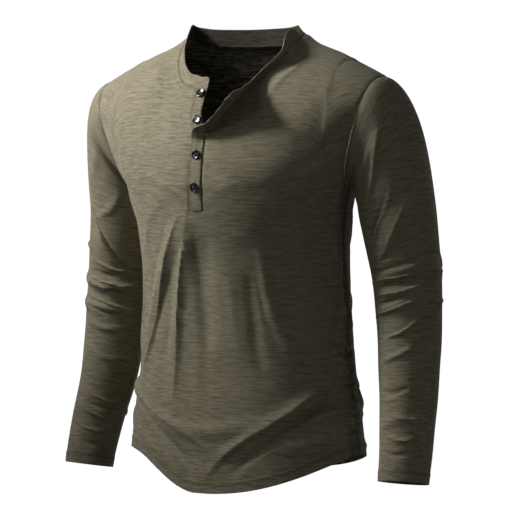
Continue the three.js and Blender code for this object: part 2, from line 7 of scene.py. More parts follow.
import bmesh
import bpy
import numpy as np
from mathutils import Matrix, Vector


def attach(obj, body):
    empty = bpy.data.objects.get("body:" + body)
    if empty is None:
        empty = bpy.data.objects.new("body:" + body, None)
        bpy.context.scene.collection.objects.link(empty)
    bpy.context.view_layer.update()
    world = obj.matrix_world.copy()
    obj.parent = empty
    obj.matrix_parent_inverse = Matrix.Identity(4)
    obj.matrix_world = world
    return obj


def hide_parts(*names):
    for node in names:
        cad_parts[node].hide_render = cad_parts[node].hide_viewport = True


bl_info = {
    "name": "Henley Shirt",
    "version": (1, 0, 0),
    "blender": (4, 5, 0),
    "location": "View3D > Sidebar > Henley Shirt",
    "description": "A long-sleeved henley shirt in slub jersey, in its worn shape",
    "category": "Object",
}

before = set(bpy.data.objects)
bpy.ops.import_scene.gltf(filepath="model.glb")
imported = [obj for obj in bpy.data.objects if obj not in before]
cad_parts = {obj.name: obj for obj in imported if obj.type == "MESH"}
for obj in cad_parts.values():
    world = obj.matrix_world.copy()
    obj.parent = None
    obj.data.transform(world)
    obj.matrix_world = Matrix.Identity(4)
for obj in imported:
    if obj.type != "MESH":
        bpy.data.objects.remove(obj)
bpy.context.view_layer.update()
MM = 0.001
QUARTER = np.pi / 2
ROUND = 2 * np.pi

# Sizes that the solids have too
NECK = dict(half=90, front_drop=78, back_drop=8, square=2.1)
BAND = dict(height=19, side=15, apex_up=155, upright=0.9, lean_over=70, end_round=5, end_run=9)
SHOULDER = dict(tip_x=230, tip_z=-60, ridge_y=16, reach=285, crown=4)
ARMPIT = dict(x=182, z=-215)
CHEST_ROUND = 2.15
ARCH_OUT = dict(middle=1.14, neck=1.3, tip=0.86)
ARCH_UP = dict(middle=1.14, neck=1.25, tip=1.02)

# Level sections of the body: height, half width, depth in front and behind, and the middle's y
BODY = [
    (-215, 182, 128, 112, 0),
    (-245, 173, 128, 109, 4),
    (-280, 166, 127, 105, 9),
    (-330, 164, 123, 98, 14),
    (-400, 166, 119, 94, 17),
    (-480, 171, 121, 98, 19),
    (-560, 181, 128, 108, 20),
    (-670, 192, 136, 118, 20),
]
HEM = dict(side=-606, front=-659, back=-644, left_curve=1.8, right_curve=9, back_curve=2)
PLACKET = dict(half=10, free=8, foot=-252.4, raised=0.5, under=1.5, closed_to=-158, open_from=-126)
ASIDE = dict(pull=13, start=-148, end=-104, fade=76)
FLAP = dict(low_x=9, low_z=-150, high_x=89, high_z=-40, turn=117, roll=9, low_ease=34, high_ease=58)
FLAP_SIDE = dict(x=-30, z=18)

# Beside the neck, where the cloth stands a little higher, and the open side a little further out,
# than in the solids
NECK_LIFT = dict(x=92, wide=18, deep=26, rise=5, out=7)
NECK_PULL = dict(at=(88, -31, -13), reach=34, by=(21, -9.5, -11.5))

# Left arm: height, centre x and y, and half sizes across and front to back
ARM = [
    (-262, 244, 32, 54, 59),
    (-330, 254, 36, 50, 54),
    (-400, 261, 34, 47, 50),
    (-480, 266, 25, 43.5, 46),
    (-560, 270, 12, 39.5, 41),
    (-640, 272, -3, 36, 37),
]
ARM_TOP = ARM[0][0]
ELBOW_LOW, WRIST = ARM[3][0], ARM[-1][0]
HEAD = dict(over=185, under=45, down=95, lean=0.3, run=130)
LEFT_ARM = dict(mirror=1, inner=0, foot=-638)
RIGHT_ARM = dict(mirror=-1, inner=17, foot=-645)
ARM_ROUND = 48

# Share of a sleeve's head over which its folds grow in below the armhole seam
FOLD_START = 3 / 8

# Parts of the top edge: steps along the neck and along the shoulder, as the solids have them
NECK_STEPS, SHOULDER_STEPS = 8, 5
NECK_SPREAD = 1.6
COLUMN_SWEEP = 1.4

# How folds fade at their ends, how round a crisp crease's crest is, and the side seam's place in u
FOLD_FADE = 0.7
PEAK_ROUND = 0.02
GIRTH = 235

# Largest folds of the body, as the solids have them, two of them softer: from (u, z) to (u, z), sway,
# sag, rise and half width. u is the way round from the middle of the front, with the side seam at GIRTH.
BODY_FOLDS = [
    (-17, -247, -125, -484, -6, 0, 6, 19),
    (-7, -256, -42, -514, -14, 0, 5, 17),
    (6, -285, 12, -450, -8, 0, -4, 19),
    (-160, -510, 110, -540, 0, -44, 4, 19),
    (-110, -548, 70, -612, 0, -26, -2, 17),
    (232, -492, 84, -566, 0, -8, -6, 16),
    (250, -530, 90, -592, 0, -14, 6, 17),
    (190, -385, 275, -424, 0, 4, 4, 17),
    (200, -462, 290, -440, 0, -4, -4, 16),
    (318, -235, 396, -470, -10, 0, 5, 19),
    (-325, -245, -400, -486, 8, 0, 5, 19),
    (452, -265, 436, -455, 6, 0, -4, 20),
    (262, -512, 448, -548, 0, -30, 7, 18),
    (-245, -492, -438, -540, 0, -32, 7, 18),
    (-262, -540, -425, -588, 0, -18, -6, 16),
    (300, -562, 452, -604, 0, -14, -5, 16),
]

# Creases near the side seams, where the cloth gathers: how much deeper, and over what width
SIDE_CREASING = dict(more=0.5, wide=42)

# Unevenness of the cloth: height, cell and seed of the body's noises, and the sleeves' crossed sines
LATTICE = 64
BODY_UNEVEN = ((0.7, 38, 3), (0.35, 17, 4))
SLEEVE_UNEVEN = dict(high=0.5, slant=31, climb=23)

# Finer creases: the points (u, z) that each runs through, its rise, half width at the start and at
# the end, how much wider its left-hand flank is than the other, and how sharp its crest is
BODY_CREASES = [
    (((-11, -226), (-20, -248), (-49, -306), (-65, -354), (-86, -418), (-117, -476), (-140, -500)),
     3.0, 4, 8, -0.2, 0.9),
    (((-8, -230), (-12, -250), (-20, -295), (-32, -353), (-38, -426), (-40, -484), (-46, -540)),
     3.4, 4, 9, -0.3, 0.9),
    (((-24, -290), (-46, -380), (-62, -450), (-74, -505)), -1.4, 8, 14, 0, 0.1),
    (((-8, -268), (-8, -310), (-5, -367), (0, -424), (4, -496), (10, -570)), -1.8, 8, 16, 0, 0.1),
    (((30, -315), (38, -380), (41, -437), (46, -500)), 1.2, 12, 18, 0.2, 0.1),
    (((60, -330), (64, -380), (68, -430), (74, -472), (80, -512)), -2.4, 10, 16, 0, 0.1),
    (((80, -300), (89, -379), (104, -425), (124, -455), (150, -478)), 2.8, 12, 20, 0.3, 0.1),
    (((62, -344), (70, -354), (80, -350)), -0.8, 6, 7, 0, 0.2),
    (((-36, -238), (-70, -250), (-104, -290), (-120, -340)), 1.0, 9, 14, 0, 0.1),
    (((-120, -330), (-140, -390), (-160, -440), (-196, -480)), 2.0, 9, 13, 0.2, 0.3),
    (((-150, -300), (-172, -352), (-205, -392), (-240, -410)), -1.6, 8, 11, 0, 0.2),
    (((-176, -506), (-120, -528), (-72, -549), (-24, -572), (6, -598), (14, -630)), 4.0, 8, 11, 0.3, 0.5),
    (((-190, -516), (-120, -541), (-85, -560), (-45, -590), (-18, -612), (-4, -640)), -5.2, 7, 9, 0, 0.5),
    (((-150, -560), (-100, -586), (-60, -606), (-24, -634)), 2.2, 8, 11, 0, 0.3),
    (((4, -640), (22, -610), (52, -581), (92, -555), (150, -516), (206, -496)), 6.0, 11, 14, 0.35, 0.7),
    (((-252, -500), (-200, -508), (-160, -520), (-118, -540)), 6.0, 8, 11, 0, 0.4),
    (((-235, -540), (-190, -552), (-150, -574)), 3.0, 8, 9, 0, 0.3),
    (((30, -636), (60, -604), (95, -577), (126, -554), (164, -536), (240, -524)), -6.0, 11, 9, 0, 0.4),
    (((100, -558), (141, -532), (177, -513), (209, -504), (262, -494)), 3.4, 7, 8, 0.3, 0.8),
    (((110, -574), (134, -560), (165, -547), (200, -540), (226, -546)), 3.6, 7, 8, 0.2, 0.8),
    (((120, -598), (160, -584), (200, -580), (232, -588)), 1.8, 8, 10, 0, 0.2),
    (((228, -330), (224, -388), (208, -438), (200, -486)), 3.0, 5, 7, 0.2, 0.7),
    (((214, -344), (210, -392), (192, -440)), -2.2, 5, 7, 0, 0.2),
    (((244, -318), (242, -392), (238, -470)), 2.2, 4, 6, 0, 0.6),
    (((196, -430), (232, -447), (264, -436)), 2.8, 5, 5, 0, 0.6),
    (((200, -456), (236, -466), (262, -452)), -2.6, 5, 5, 0, 0.3),
    (((206, -478), (236, -488), (262, -474)), 3.2, 5, 5, 0, 0.6),
    (((210, -500), (236, -506), (258, -496)), -2.8, 5, 5, 0, 0.3),
    (((212, -522), (238, -531), (262, -518)), 3.4, 5, 5, 0, 0.6),
    (((212, -546), (238, -551), (256, -542)), -3.0, 5, 5, 0, 0.3),
    (((214, -562), (238, -570), (262, -560)), 2.8, 5, 5, 0, 0.6),
    (((-214, -452), (-236, -458), (-262, -446)), 2.8, 5, 6, 0, 0.6),
    (((-208, -482), (-238, -490), (-260, -478)), -2.6, 5, 5, 0, 0.3),
    (((-212, -520), (-238, -528), (-266, -514)), 3.0, 5, 6, 0, 0.6),
    (((-206, -552), (-236, -560), (-258, -550)), -2.4, 5, 5, 0, 0.3),
    (((150, -222), (178, -250), (206, -300), (214, -350)), 2.4, 8, 11, 0, 0.2),
    (((132, -224), (156, -268), (176, -330)), -1.8, 9, 12, 0, 0.1),
    (((-150, -224), (-180, -256), (-206, -306)), 2.2, 8, 11, 0, 0.2),
    (((262, -236), (284, -276), (330, -320), (352, -380)), 2.6, 8, 12, 0, 0.3),
    (((-262, -236), (-288, -280), (-338, -330), (-356, -396)), 2.6, 8, 12, 0, 0.3),
    (((300, -240), (352, -300), (384, -380), (402, -452)), -2.4, 8, 14, 0, 0.1),
    (((-306, -240), (-350, -306), (-380, -384), (-392, -446)), -2.2, 8, 14, 0, 0.1),
    (((470, -250), (466, -330), (458, -420), (462, -500)), 2.6, 8, 14, 0, 0.4),
    (((440, -300), (424, -380), (420, -460), (430, -520)), 2.2, 8, 12, 0, 0.5),
    (((-446, -310), (-430, -390), (-424, -470)), 2.4, 8, 12, 0, 0.5),
    (((262, -496), (320, -520), (390, -534), (448, -530)), 3.6, 8, 12, 0.3, 0.7),
    (((256, -524), (310, -548), (380, -566), (440, -572)), -3.6, 8, 10, 0, 0.3),
    (((-260, -470), (-320, -500), (-400, -520), (-452, -518)), 3.2, 8, 12, 0.3, 0.7),
    (((-262, -560), (-330, -584), (-400, -600), (-448, -602)), 2.8, 8, 11, 0, 0.5),
    (((258, -586), (330, -604), (400, -612), (452, -606)), 2.4, 8, 11, 0, 0.4),
    (((256, -406), (290, -420), (330, -450)), -2.2, 7, 8, 0, 0.2),
    (((252, -366), (300, -392), (350, -440), (380, -500)), 2.6, 7, 10, 0, 0.5),
    (((-250, -380), (-300, -404), (-350, -450)), 2.4, 7, 9, 0, 0.5),
]

# Soft drag lines of the chest and the shoulder blades, with points (x, z)
CHEST_CREASES = [
    (((204, -140), (180, -176), (150, -212), (112, -246)), 2.4, 9, 13, 0, 0.2),
    (((214, -112), (196, -146), (168, -178), (138, -196)), -1.8, 8, 11, 0, 0.1),
    (((194, -176), (166, -216), (132, -250)), -1.6, 7, 10, 0, 0.1),
    (((-204, -140), (-178, -178), (-148, -212), (-112, -240)), 2.2, 9, 13, 0, 0.2),
    (((-212, -108), (-190, -140), (-156, -170)), -1.6, 8, 11, 0, 0.1),
    (((130, -30), (108, -60), (92, -96)), 1.4, 8, 11, 0, 0.1),
    (((-128, -32), (-106, -60), (-92, -92)), 1.4, 8, 11, 0, 0.1),
    (((-14, -240), (-40, -222), (-78, -206), (-110, -200)), 1.4, 5, 10, 0, 0.3),
    (((-14, -252), (-36, -246), (-70, -238)), -1.0, 5, 9, 0, 0.2),
    (((16, -238), (40, -222), (70, -214)), 1.0, 6, 10, 0, 0.2),
    (((-13, -172), (-30, -168), (-52, -170)), 0.9, 4, 8, 0, 0.3),
    (((-13, -200), (-32, -198), (-56, -190)), 0.9, 4, 8, 0, 0.3),
    (((13, -186), (30, -178), (50, -176)), 0.8, 4, 8, 0, 0.3),
]
BACK_CREASES = [
    (((200, -140), (170, -176), (132, -206), (90, -224)), 2.4, 9, 14, 0, 0.2),
    (((206, -108), (176, -142), (140, -166)), -1.8, 8, 11, 0, 0.1),
    (((-202, -136), (-168, -172), (-130, -204), (-92, -220)), 2.4, 9, 14, 0, 0.2),
    (((-206, -104), (-172, -140), (-136, -160)), -1.8, 8, 11, 0, 0.1),
    (((-70, -30), (0, -46), (72, -32)), 1.8, 9, 11, 0, 0.2),
    (((-92, -66), (-10, -84), (84, -70)), -1.4, 10, 12, 0, 0.1),
    (((-60, -130), (-20, -180), (-14, -240)), 1.6, 9, 12, 0, 0.1),
    (((64, -140), (30, -190), (26, -240)), 1.6, 9, 12, 0, 0.1),
]

# Folds of the sleeves that the solids have, here a little softer: from (angle, height) to
# (angle, height), sag, rise and half width. The angle is 0 on the outer side and 90 in front.
LEFT_FOLDS = [
    (165, -222, 70, -178, 6, 3.0, 15),
    (112, -322, 44, -240, 0, 3.6, 14),
    (122, -346, -10, -332, 4, 3.6, 12),
    (118, -371, -32, -342, -8, 3.6, 12),
    (135, -399, 20, -366, -4, 3.0, 12),
    (250, -352, 340, -330, 8, 3.0, 14),
    (235, -388, 325, -372, -6, 3.0, 13),
    (60, -548, 140, -566, 0, 2.1, 13),
    (210, -240, 300, -200, 6, 3.0, 15),
]
RIGHT_FOLDS = [
    (160, -214, 66, -170, 5, 4.0, 15),
    (62, -288, 120, -340, 0, 4.0, 14),
    (20, -358, 165, -371, -8, 5.6, 13),
    (46, -374, 106, -398, 0, -3.2, 11),
    (20, -398, 165, -412, -3, 4.8, 13),
    (230, -345, 330, -350, 6, 4.0, 14),
    (220, -386, 320, -392, -5, 4.0, 13),
    (50, -556, 140, -572, 0, 2.8, 13),
    (215, -236, 300, -196, 6, 4.0, 15),
]

# Finer creases of the sleeves, with points (angle, height), in the form of the body's
LEFT_CREASES = [
    (((150, -352), (108, -348), (71, -346), (37, -341), (2, -334)), 3.7, 3.4, 4.7, 0.4, 0.9),
    (((150, -336), (112, -336), (70, -330), (30, -324)), -4.1, 6.5, 7.5, 0, 0.3),
    (((140, -374), (102, -370), (70, -367), (31, -355), (0, -346), (-36, -340)), 4.2, 3.4, 4.7, 0.4, 0.9),
    (((140, -362), (100, -359), (64, -356), (36, -350)), -3.9, 5.5, 6.5, 0, 0.3),
    (((150, -404), (117, -399), (89, -394), (49, -380), (26, -366)), 3.7, 4.0, 4.7, 0.4, 0.9),
    (((130, -386), (96, -382), (60, -374)), -4.1, 5.0, 6.0, 0, 0.3),
    (((104, -320), (90, -306), (75, -285), (54, -252), (36, -224)), 3.5, 4.7, 6.5, 0.3, 0.7),
    (((122, -304), (104, -282), (84, -254), (66, -226)), 3.5, 3.7, 5.6, 0.2, 0.6),
    (((124, -262), (108, -232), (96, -206), (80, -172)), 3.8, 7.0, 10.0, 0, 0.4),
    (((112, -288), (94, -262), (74, -236)), -3.5, 6.0, 9.0, 0, 0.2),
    (((40, -424), (22, -404), (-12, -386), (-40, -380)), 3.5, 3.4, 4.4, 0, 0.7),
    (((109, -436), (77, -429), (50, -412), (24, -396)), 3.2, 3.4, 5.0, 0.2, 0.6),
    (((-23, -306), (23, -322), (50, -330)), 3.7, 3.4, 4.4, 0.2, 0.7),
    (((-34, -322), (0, -318), (20, -306)), -3.8, 4.0, 5.0, 0, 0.2),
    (((118, -470), (84, -462), (50, -448)), 2.9, 6.0, 9.0, 0, 0.3),
    (((60, -508), (96, -516), (130, -510)), -2.6, 6.0, 8.0, 0, 0.2),
    (((111, -575), (73, -582), (31, -575)), 3.2, 5.0, 7.0, 0, 0.5),
    (((120, -598), (84, -603), (50, -598)), -2.6, 5.0, 6.0, 0, 0.2),
    (((20, -540), (50, -552), (92, -548)), 2.9, 6.0, 7.0, 0, 0.4),
    (((200, -346), (240, -350), (290, -344), (330, -334)), 3.3, 4.0, 5.3, 0.3, 0.8),
    (((196, -384), (240, -380), (290, -372), (320, -366)), 3.7, 3.4, 4.4, 0.3, 0.8),
    (((206, -366), (246, -366), (300, -356)), -4.1, 5.0, 6.0, 0, 0.3),
    (((170, -290), (200, -262), (236, -236), (270, -222)), 3.8, 7.0, 9.0, 0, 0.5),
    (((180, -430), (224, -424), (270, -416)), 3.2, 6.0, 8.0, 0, 0.4),
    (((200, -560), (240, -572), (290, -566)), 2.9, 5.0, 7.0, 0, 0.4),
    (((190, -500), (236, -512), (280, -506)), -2.6, 6.0, 8.0, 0, 0.2),
]
RIGHT_CREASES = [
    (((66, -250), (79, -279), (99, -305), (113, -319), (126, -331), (148, -347), (170, -356)),
     -4.4, 4, 5, 0.3, 0.7),
    (((70, -264), (84, -291), (96, -310), (112, -326), (130, -342), (150, -357)), 2.4, 6, 7, 0, 0.3),
    (((60, -360), (100, -366), (128, -369), (153, -365), (180, -356)), 4.8, 4.1, 5.6, 0.4, 0.9),
    (((70, -348), (104, -354), (140, -354)), -4.3, 5.0, 6.0, 0, 0.3),
    (((80, -370), (102, -377), (119, -391), (132, -398)), 4.1, 3.4, 4.4, 0.2, 0.8),
    (((96, -384), (112, -378), (144, -382)), -4.3, 4.0, 5.0, 0, 0.3),
    (((50, -388), (78, -394), (120, -402), (143, -406), (172, -405)), 4.7, 4.1, 5.6, 0.4, 0.9),
    (((60, -404), (100, -414), (146, -418)), -3.8, 5.0, 7.0, 0, 0.3),
    (((64, -330), (80, -336), (122, -345), (143, -337)), 3.9, 3.8, 4.5, 0.2, 0.7),
    (((130, -220), (100, -250), (70, -270)), 2.9, 8.0, 11.0, 0, 0.2),
    (((110, -180), (84, -206), (56, -230)), 2.6, 9.0, 12.0, 0, 0.1),
    (((60, -430), (100, -440), (150, -436)), 2.9, 6.0, 8.0, 0, 0.3),
    (((80, -476), (120, -486), (160, -480)), 2.3, 6.0, 9.0, 0, 0.2),
    (((86, -540), (110, -545), (141, -551), (168, -548)), 3.6, 3.8, 4.5, 0.2, 0.7),
    (((80, -560), (100, -567), (135, -575), (167, -572)), 3.6, 3.8, 4.5, 0.2, 0.7),
    (((84, -552), (120, -560), (156, -560)), -3.2, 4.0, 5.0, 0, 0.3),
    (((72, -584), (93, -591), (129, -596), (162, -590)), 3.3, 3.8, 4.5, 0.2, 0.7),
    (((90, -612), (126, -616), (160, -610)), -2.6, 5.0, 6.0, 0, 0.2),
    (((-10, -356), (-40, -362), (-80, -354)), 3.7, 4.9, 6.4, 0.3, 0.8),
    (((-6, -390), (-50, -396), (-90, -386)), 4.1, 3.8, 5.2, 0.3, 0.8),
    (((190, -362), (230, -356), (280, -360)), 3.9, 3.8, 5.2, 0.3, 0.7),
    (((196, -404), (236, -398), (286, -400)), 3.6, 3.8, 5.2, 0.3, 0.7),
    (((196, -300), (226, -268), (262, -240)), 3.5, 7.0, 9.0, 0, 0.5),
    (((10, -320), (40, -312), (64, -322)), 3.2, 6.0, 8.0, 0, 0.4),
    (((200, -556), (244, -566), (290, -560)), 2.9, 5.0, 7.0, 0, 0.4),
]

# Buttons: size, and the height and strip of each
BUTTON = dict(
    radius=6.6, thick=3.2, rim=1.6, slope=0.6, dish=1, back=3, middle=2.8, sag=0.1,
    hole=0.85, hole_at=1.7, lift=0.3,
)
DRILL = dict(foot=-1, head=5)
POLE, DRILL_POLE = 0.01, 0.001
BUTTONS = [
    ("button_1", -84, "under"),
    ("button_2", -122, "under"),
    ("button_3", -172, "over"),
    ("button_4", -218, "over"),
]

# Bars of thread across a button: thickness, height over the dish and depth at their ends
THREAD_BAR = dict(thick=0.42, over=0.35, dive=1.6)

# Buttonholes: half length, pitch and width of the threads beside the slit, and half its gap
HOLE = dict(half=7.6, pitch=0.55, side=1.5, gap=0.3)

# How the neckband follows the open corner: columns over which it comes to lie along the cloth, before
# and after the shoulder, and those over which it swings and eases into the turned corner
BAND_TURN = dict(lies_from=46, lies_to=58, swings=16, eases=42, share=0.9)
INWARD = dict(shoulder=(-0.9, -0.03, 0.42), later=(-0.5, 0.52, 0.69))
BAND_CLOTH = dict(thick=1.7, swell=0.25, tuck=2, tuck_in=1.2, under=6)

# Placket strips: columns across, the rise of their middle, the wall, and the inset of their edges
# and of their stitches. Foot rows are the steps up the strip that the two lines across it lie on.
STRIP = dict(columns=13, pillow=0.35, wall=1.5, inset=0.2, stitch_in=1.6, foot_rows=(2, 7))

# How seams sink into the cloth, as depth and width, and how a turned hem stands out
SEAM_DIP = (1.0, 5)
UNDERARM_DIP = (0.5, 4)
HEM_STEP = dict(rise=0.6, run=2.5)

# Lines of stitches: gap of the twin rows, and how far they lie from an edge of the cloth
TWIN_GAP = 3
NECK_SEAM = 2.2
BAND_ROWS = (1.8, -2.2)

# Spacing of the knit's wales and courses
WALE, COURSE = 1.1 * MM, 0.9 * MM

# Angles past which edges stay crisp, on cloth and on buttons
CLOTH_CRISP, BUTTON_CRISP = np.radians(50), np.radians(40)

# Steps of the fine grids. Rows lie closer in the body's lowest share and in the last millimetres of
# a sleeve, for the turned hems. Columns of a panel's half and those of them that end at the neck.
HEM_SHARE = 0.05
CUFF_ROWS_FROM = 22
FINE = dict(
    hem=15, lower=138, foot=12, upper=84, across=88, bridge=6,
    band=8, band_end=8, neck=8,
    sleeve_round=128, sleeve_head=48, sleeve_arm=190,
)
PANEL = FINE["across"] + 1
NECK_COLUMNS = int(round(PANEL * NECK_STEPS / (NECK_STEPS + SHOULDER_STEPS)))


class ShirtSettings(bpy.types.PropertyGroup):
    """Sizes and colours that a user would change."""

    cloth_thick: bpy.props.FloatProperty(
        name="Cloth thickness", description="Thickness of the jersey", default=0.9 * MM, unit="LENGTH")
    crease_depth: bpy.props.FloatProperty(
        name="Crease depth", description="Share of the finer creases' depth", default=1.0, min=0, max=2)
    hem_width: bpy.props.FloatProperty(
        name="Hem width", description="Height of the hem and cuffs", default=15 * MM, unit="LENGTH")
    stitch_length: bpy.props.FloatProperty(
        name="Stitch length", description="Step from stitch to stitch", default=3.0 * MM, unit="LENGTH")
    cloth_colour: bpy.props.FloatVectorProperty(
        name="Cloth colour", description="Main colour of the slub jersey", subtype="COLOR", size=4,
        default=(0.208, 0.184, 0.119, 1))
    slub_colour: bpy.props.FloatVectorProperty(
        name="Slub colour", description="Colour of the thick pale yarns", subtype="COLOR", size=4,
        default=(0.31, 0.285, 0.205, 1))
    thread_colour: bpy.props.FloatVectorProperty(
        name="Thread colour", description="Colour of the sewing thread", subtype="COLOR", size=4,
        default=(0.17, 0.15, 0.10, 1))
    button_colour: bpy.props.FloatVectorProperty(
        name="Button colour", description="Colour of the glossy buttons", subtype="COLOR", size=4,
        default=(0.006, 0.006, 0.007, 1))


# Small helpers
def mix(a, b, t):
    """The value t of the way from a to b."""
    return a + (b - a) * t


def clamp(t):
    """t, kept between 0 and 1."""
    return np.clip(t, 0, 1)


def smooth(t):
    """An S-shaped rise from 0 to 1, level at both ends."""
    return clamp(t) ** 2 * (3 - 2 * clamp(t))


def signed_power(value, exponent):
    """A power of the size, with the value's own sign."""
    return np.sign(value) * np.abs(value) ** exponent


def unit(v):
    """The direction of each vector."""
    return v / (np.linalg.norm(v, axis=-1, keepdims=True) + 1e-12)


def walked(points, axis=0):
    """The distance gone along a path, or along one way of a grid, at each of its points."""
    steps = np.linalg.norm(np.diff(points, axis=axis), axis=-1)
    return np.insert(np.cumsum(steps, axis=axis), 0, 0, axis=axis)


def sampled(at, knots, table):
    """Points of a table read at given places between its knots, along straight lines."""
    return np.stack([np.interp(at, knots, table[:, k]) for k in range(3)], -1)


def point(x, y, z):
    """Stacks three arrays, stretched to one shape, into an array of points."""
    return np.stack(np.broadcast_arrays(x, y, z), axis=-1).astype(float)


def along(table, z):
    """A cubic curve through a table's rows at height z: each span starts and ends with the slopes
    that its neighbours give. Returns one array for each column after the first."""
    rows = np.array(table, float)
    z = np.asarray(z, float)
    k = np.searchsorted(-rows[1:-1, 0], -z, side="left")
    a, b = rows[k], rows[k + 1]
    before, after = rows[np.maximum(k - 1, 0)], rows[np.minimum(k + 2, len(rows) - 1)]
    span = (b[..., 0] - a[..., 0])[..., None]
    t = (z - a[..., 0])[..., None] / span
    slope_a = (b - before) / (b[..., :1] - before[..., :1]) * span
    slope_b = (after - a) / (after[..., :1] - a[..., :1]) * span
    row = (
        (2 * t**3 - 3 * t**2 + 1) * a
        + (t**3 - 2 * t**2 + t) * slope_a
        + (3 * t**2 - 2 * t**3) * b
        + (t**3 - t**2) * slope_b
    )
    return np.moveaxis(row[..., 1:], -1, 0)


# Body: an arch over the shoulders above the armpits, level sections below them
def arch_at(x):
    """The arch's two exponents and the share of the way from the neck's side to the shoulder tip."""
    size = np.abs(x)
    beyond = clamp((size - NECK["half"]) / (SHOULDER["tip_x"] - NECK["half"]))
    near = smooth(size / NECK["half"])
    out, up = [mix(mix(e["middle"], e["neck"], near), e["tip"], beyond) for e in (ARCH_OUT, ARCH_UP)]
    return out, up, beyond


def ridge_height(share):
    """The shoulder's ridge: a straight slope to the tip with a low sine crown."""
    return SHOULDER["tip_z"] * share + SHOULDER["crown"] * np.sin(np.pi * share)


def upper(side, x, rise):
    """A point of the arch: the depth falls as a power of the cosine of the rise and the height grows
    as a power of its sine, from the armpit at rise 0 to the shoulder ridge at rise 1."""
    angle = rise * QUARTER
    half = mix(ARMPIT["x"], SHOULDER["reach"], np.sin(angle))
    depth = BODY[0][2] if side < 0 else BODY[0][3]
    rounded = (1 - clamp(np.abs(x) / half) ** CHEST_ROUND) ** (1 / CHEST_ROUND)
    out, up, beyond = arch_at(x)
    y = side * depth * rounded * np.maximum(0, np.cos(angle)) ** out
    z = mix(ARMPIT["z"], ridge_height(beyond), np.sin(angle) ** up)
    return point(x, y + SHOULDER["ridge_y"] * rise**2, z)


def rise_at(x, z):
    """The rise at which the arch over x reaches height z."""
    _, up, beyond = arch_at(x)
    share = (z - ARMPIT["z"]) / (ridge_height(beyond) - ARMPIT["z"])
    return np.arcsin(clamp(share) ** (1 / up)) / QUARTER


def turn_at(x, half):
    """The turn at which a level section of a given half width reaches x."""
    return np.arcsin(clamp(np.abs(x) / half) ** (CHEST_ROUND / 2)) / QUARTER


def lower(side, turn, z):
    """A point of a level section, which is a squared oval: turn is 0 in the middle, 1 at the seam."""
    half, front, back, middle = along(BODY, z)
    depth = front if side < 0 else back
    x = half * signed_power(np.sin(turn * QUARTER), 2 / CHEST_ROUND)
    y = side * depth * np.maximum(0, np.cos(turn * QUARTER)) ** (2 / CHEST_ROUND)
    return point(x, middle + y, z)


def armhole_x(rise):
    """x of the armhole, from the armpit out to the shoulder tip, as a parabola over the rise."""
    return mix(ARMPIT["x"], SHOULDER["tip_x"], 1 - (1 - rise) ** 2)


def top_edge(side, start, share):
    """x and rise of the top edge, from the slot or the middle at share 0 to the shoulder tip at 1: a
    squared oval along the neck, then the ridge."""
    steps = NECK_STEPS + SHOULDER_STEPS
    last = np.arccos((start / NECK["half"]) ** (NECK["square"] / 2)) / QUARTER
    at = clamp(1 - share * steps / NECK_STEPS) ** NECK_SPREAD * last * QUARTER
    drop = NECK["front_drop"] if side < 0 else NECK["back_drop"]
    neck_x = NECK["half"] * np.maximum(0, np.cos(at)) ** (2 / NECK["square"])
    neck_rise = rise_at(neck_x, -drop * np.sin(at) ** (2 / NECK["square"]))
    on_ridge = share * steps - NECK_STEPS
    ridge_x = mix(NECK["half"], SHOULDER["tip_x"], on_ridge / SHOULDER_STEPS)
    return np.where(on_ridge > 0, ridge_x, neck_x), np.where(on_ridge > 0, 1.0, neck_rise)


def hem_height(side, turn, curve):
    """The hem's height, from the middle to the side as a power of the cosine of the turn."""
    middle = np.maximum(0, np.cos(turn * QUARTER))
    return mix(HEM["side"], HEM["front"] if side < 0 else HEM["back"], middle**curve)


def body_rows():
    """Shares of the way up: from the hem to the armpit, closer in the first and last rows, then to
    the top."""
    foot = (PLACKET["foot"] - HEM["front"]) / (ARMPIT["z"] - HEM["front"])
    hem = np.linspace(0, HEM_SHARE, FINE["hem"] + 1)[:-1]
    rows = np.linspace(HEM_SHARE, foot, FINE["lower"] - FINE["hem"])
    below = np.concatenate([hem, rows, np.linspace(foot, 1, FINE["foot"] + 1)[1:]])
    return below[:-1], np.linspace(0, 1, FINE["upper"] + 1)


def half_body(side, start, share, curve=HEM["left_curve"]):
    """Half a body panel. Each column keeps its share of a level section from the hem to the armpit,
    then sweeps along the arch to its place on the top edge; the slot's own edge goes straight up."""
    below, above = body_rows()
    share = share[:, None]
    start_turn = turn_at(start, BODY[-1][1])
    even = mix(start_turn, 1, share)
    top_x, top_rise = top_edge(side, start, share)
    beside_slot = clamp(1 - share * (NECK_STEPS + SHOULDER_STEPS)) if start > 0 else 0
    z = mix(hem_height(side, even * (1 - beside_slot), curve), ARMPIT["z"], below[None, :])
    rise = top_rise * above[None, :]
    low = lower(side, even + 0 * z, z)
    armpit_share = lower(side, even, ARMPIT["z"])[..., 0] / ARMPIT["x"]
    high = upper(side, mix(armpit_share * armhole_x(rise), top_x, above[None, :] ** COLUMN_SWEEP), rise)
    if start > 0:
        straight = beside_slot[..., None]
        half = along(BODY, z)[0]
        low = mix(low, lower(side, turn_at(start, half), z), straight)
        high = mix(high, upper(side, start + 0 * rise, rise), straight)
    return lift_neck(np.concatenate([low, high], axis=1))


def lift_neck(points):
    """Raises the cloth a little where the shoulder runs up to the band on the open side."""
    x, y = points[..., 0], points[..., 1]
    near = np.exp(-(((x - NECK_LIFT["x"]) / NECK_LIFT["wide"]) ** 2))
    near = near * np.exp(-(((y - SHOULDER["ridge_y"]) / NECK_LIFT["deep"]) ** 2))
    return point(x + NECK_LIFT["out"] * near, y, points[..., 2] + NECK_LIFT["rise"] * near)


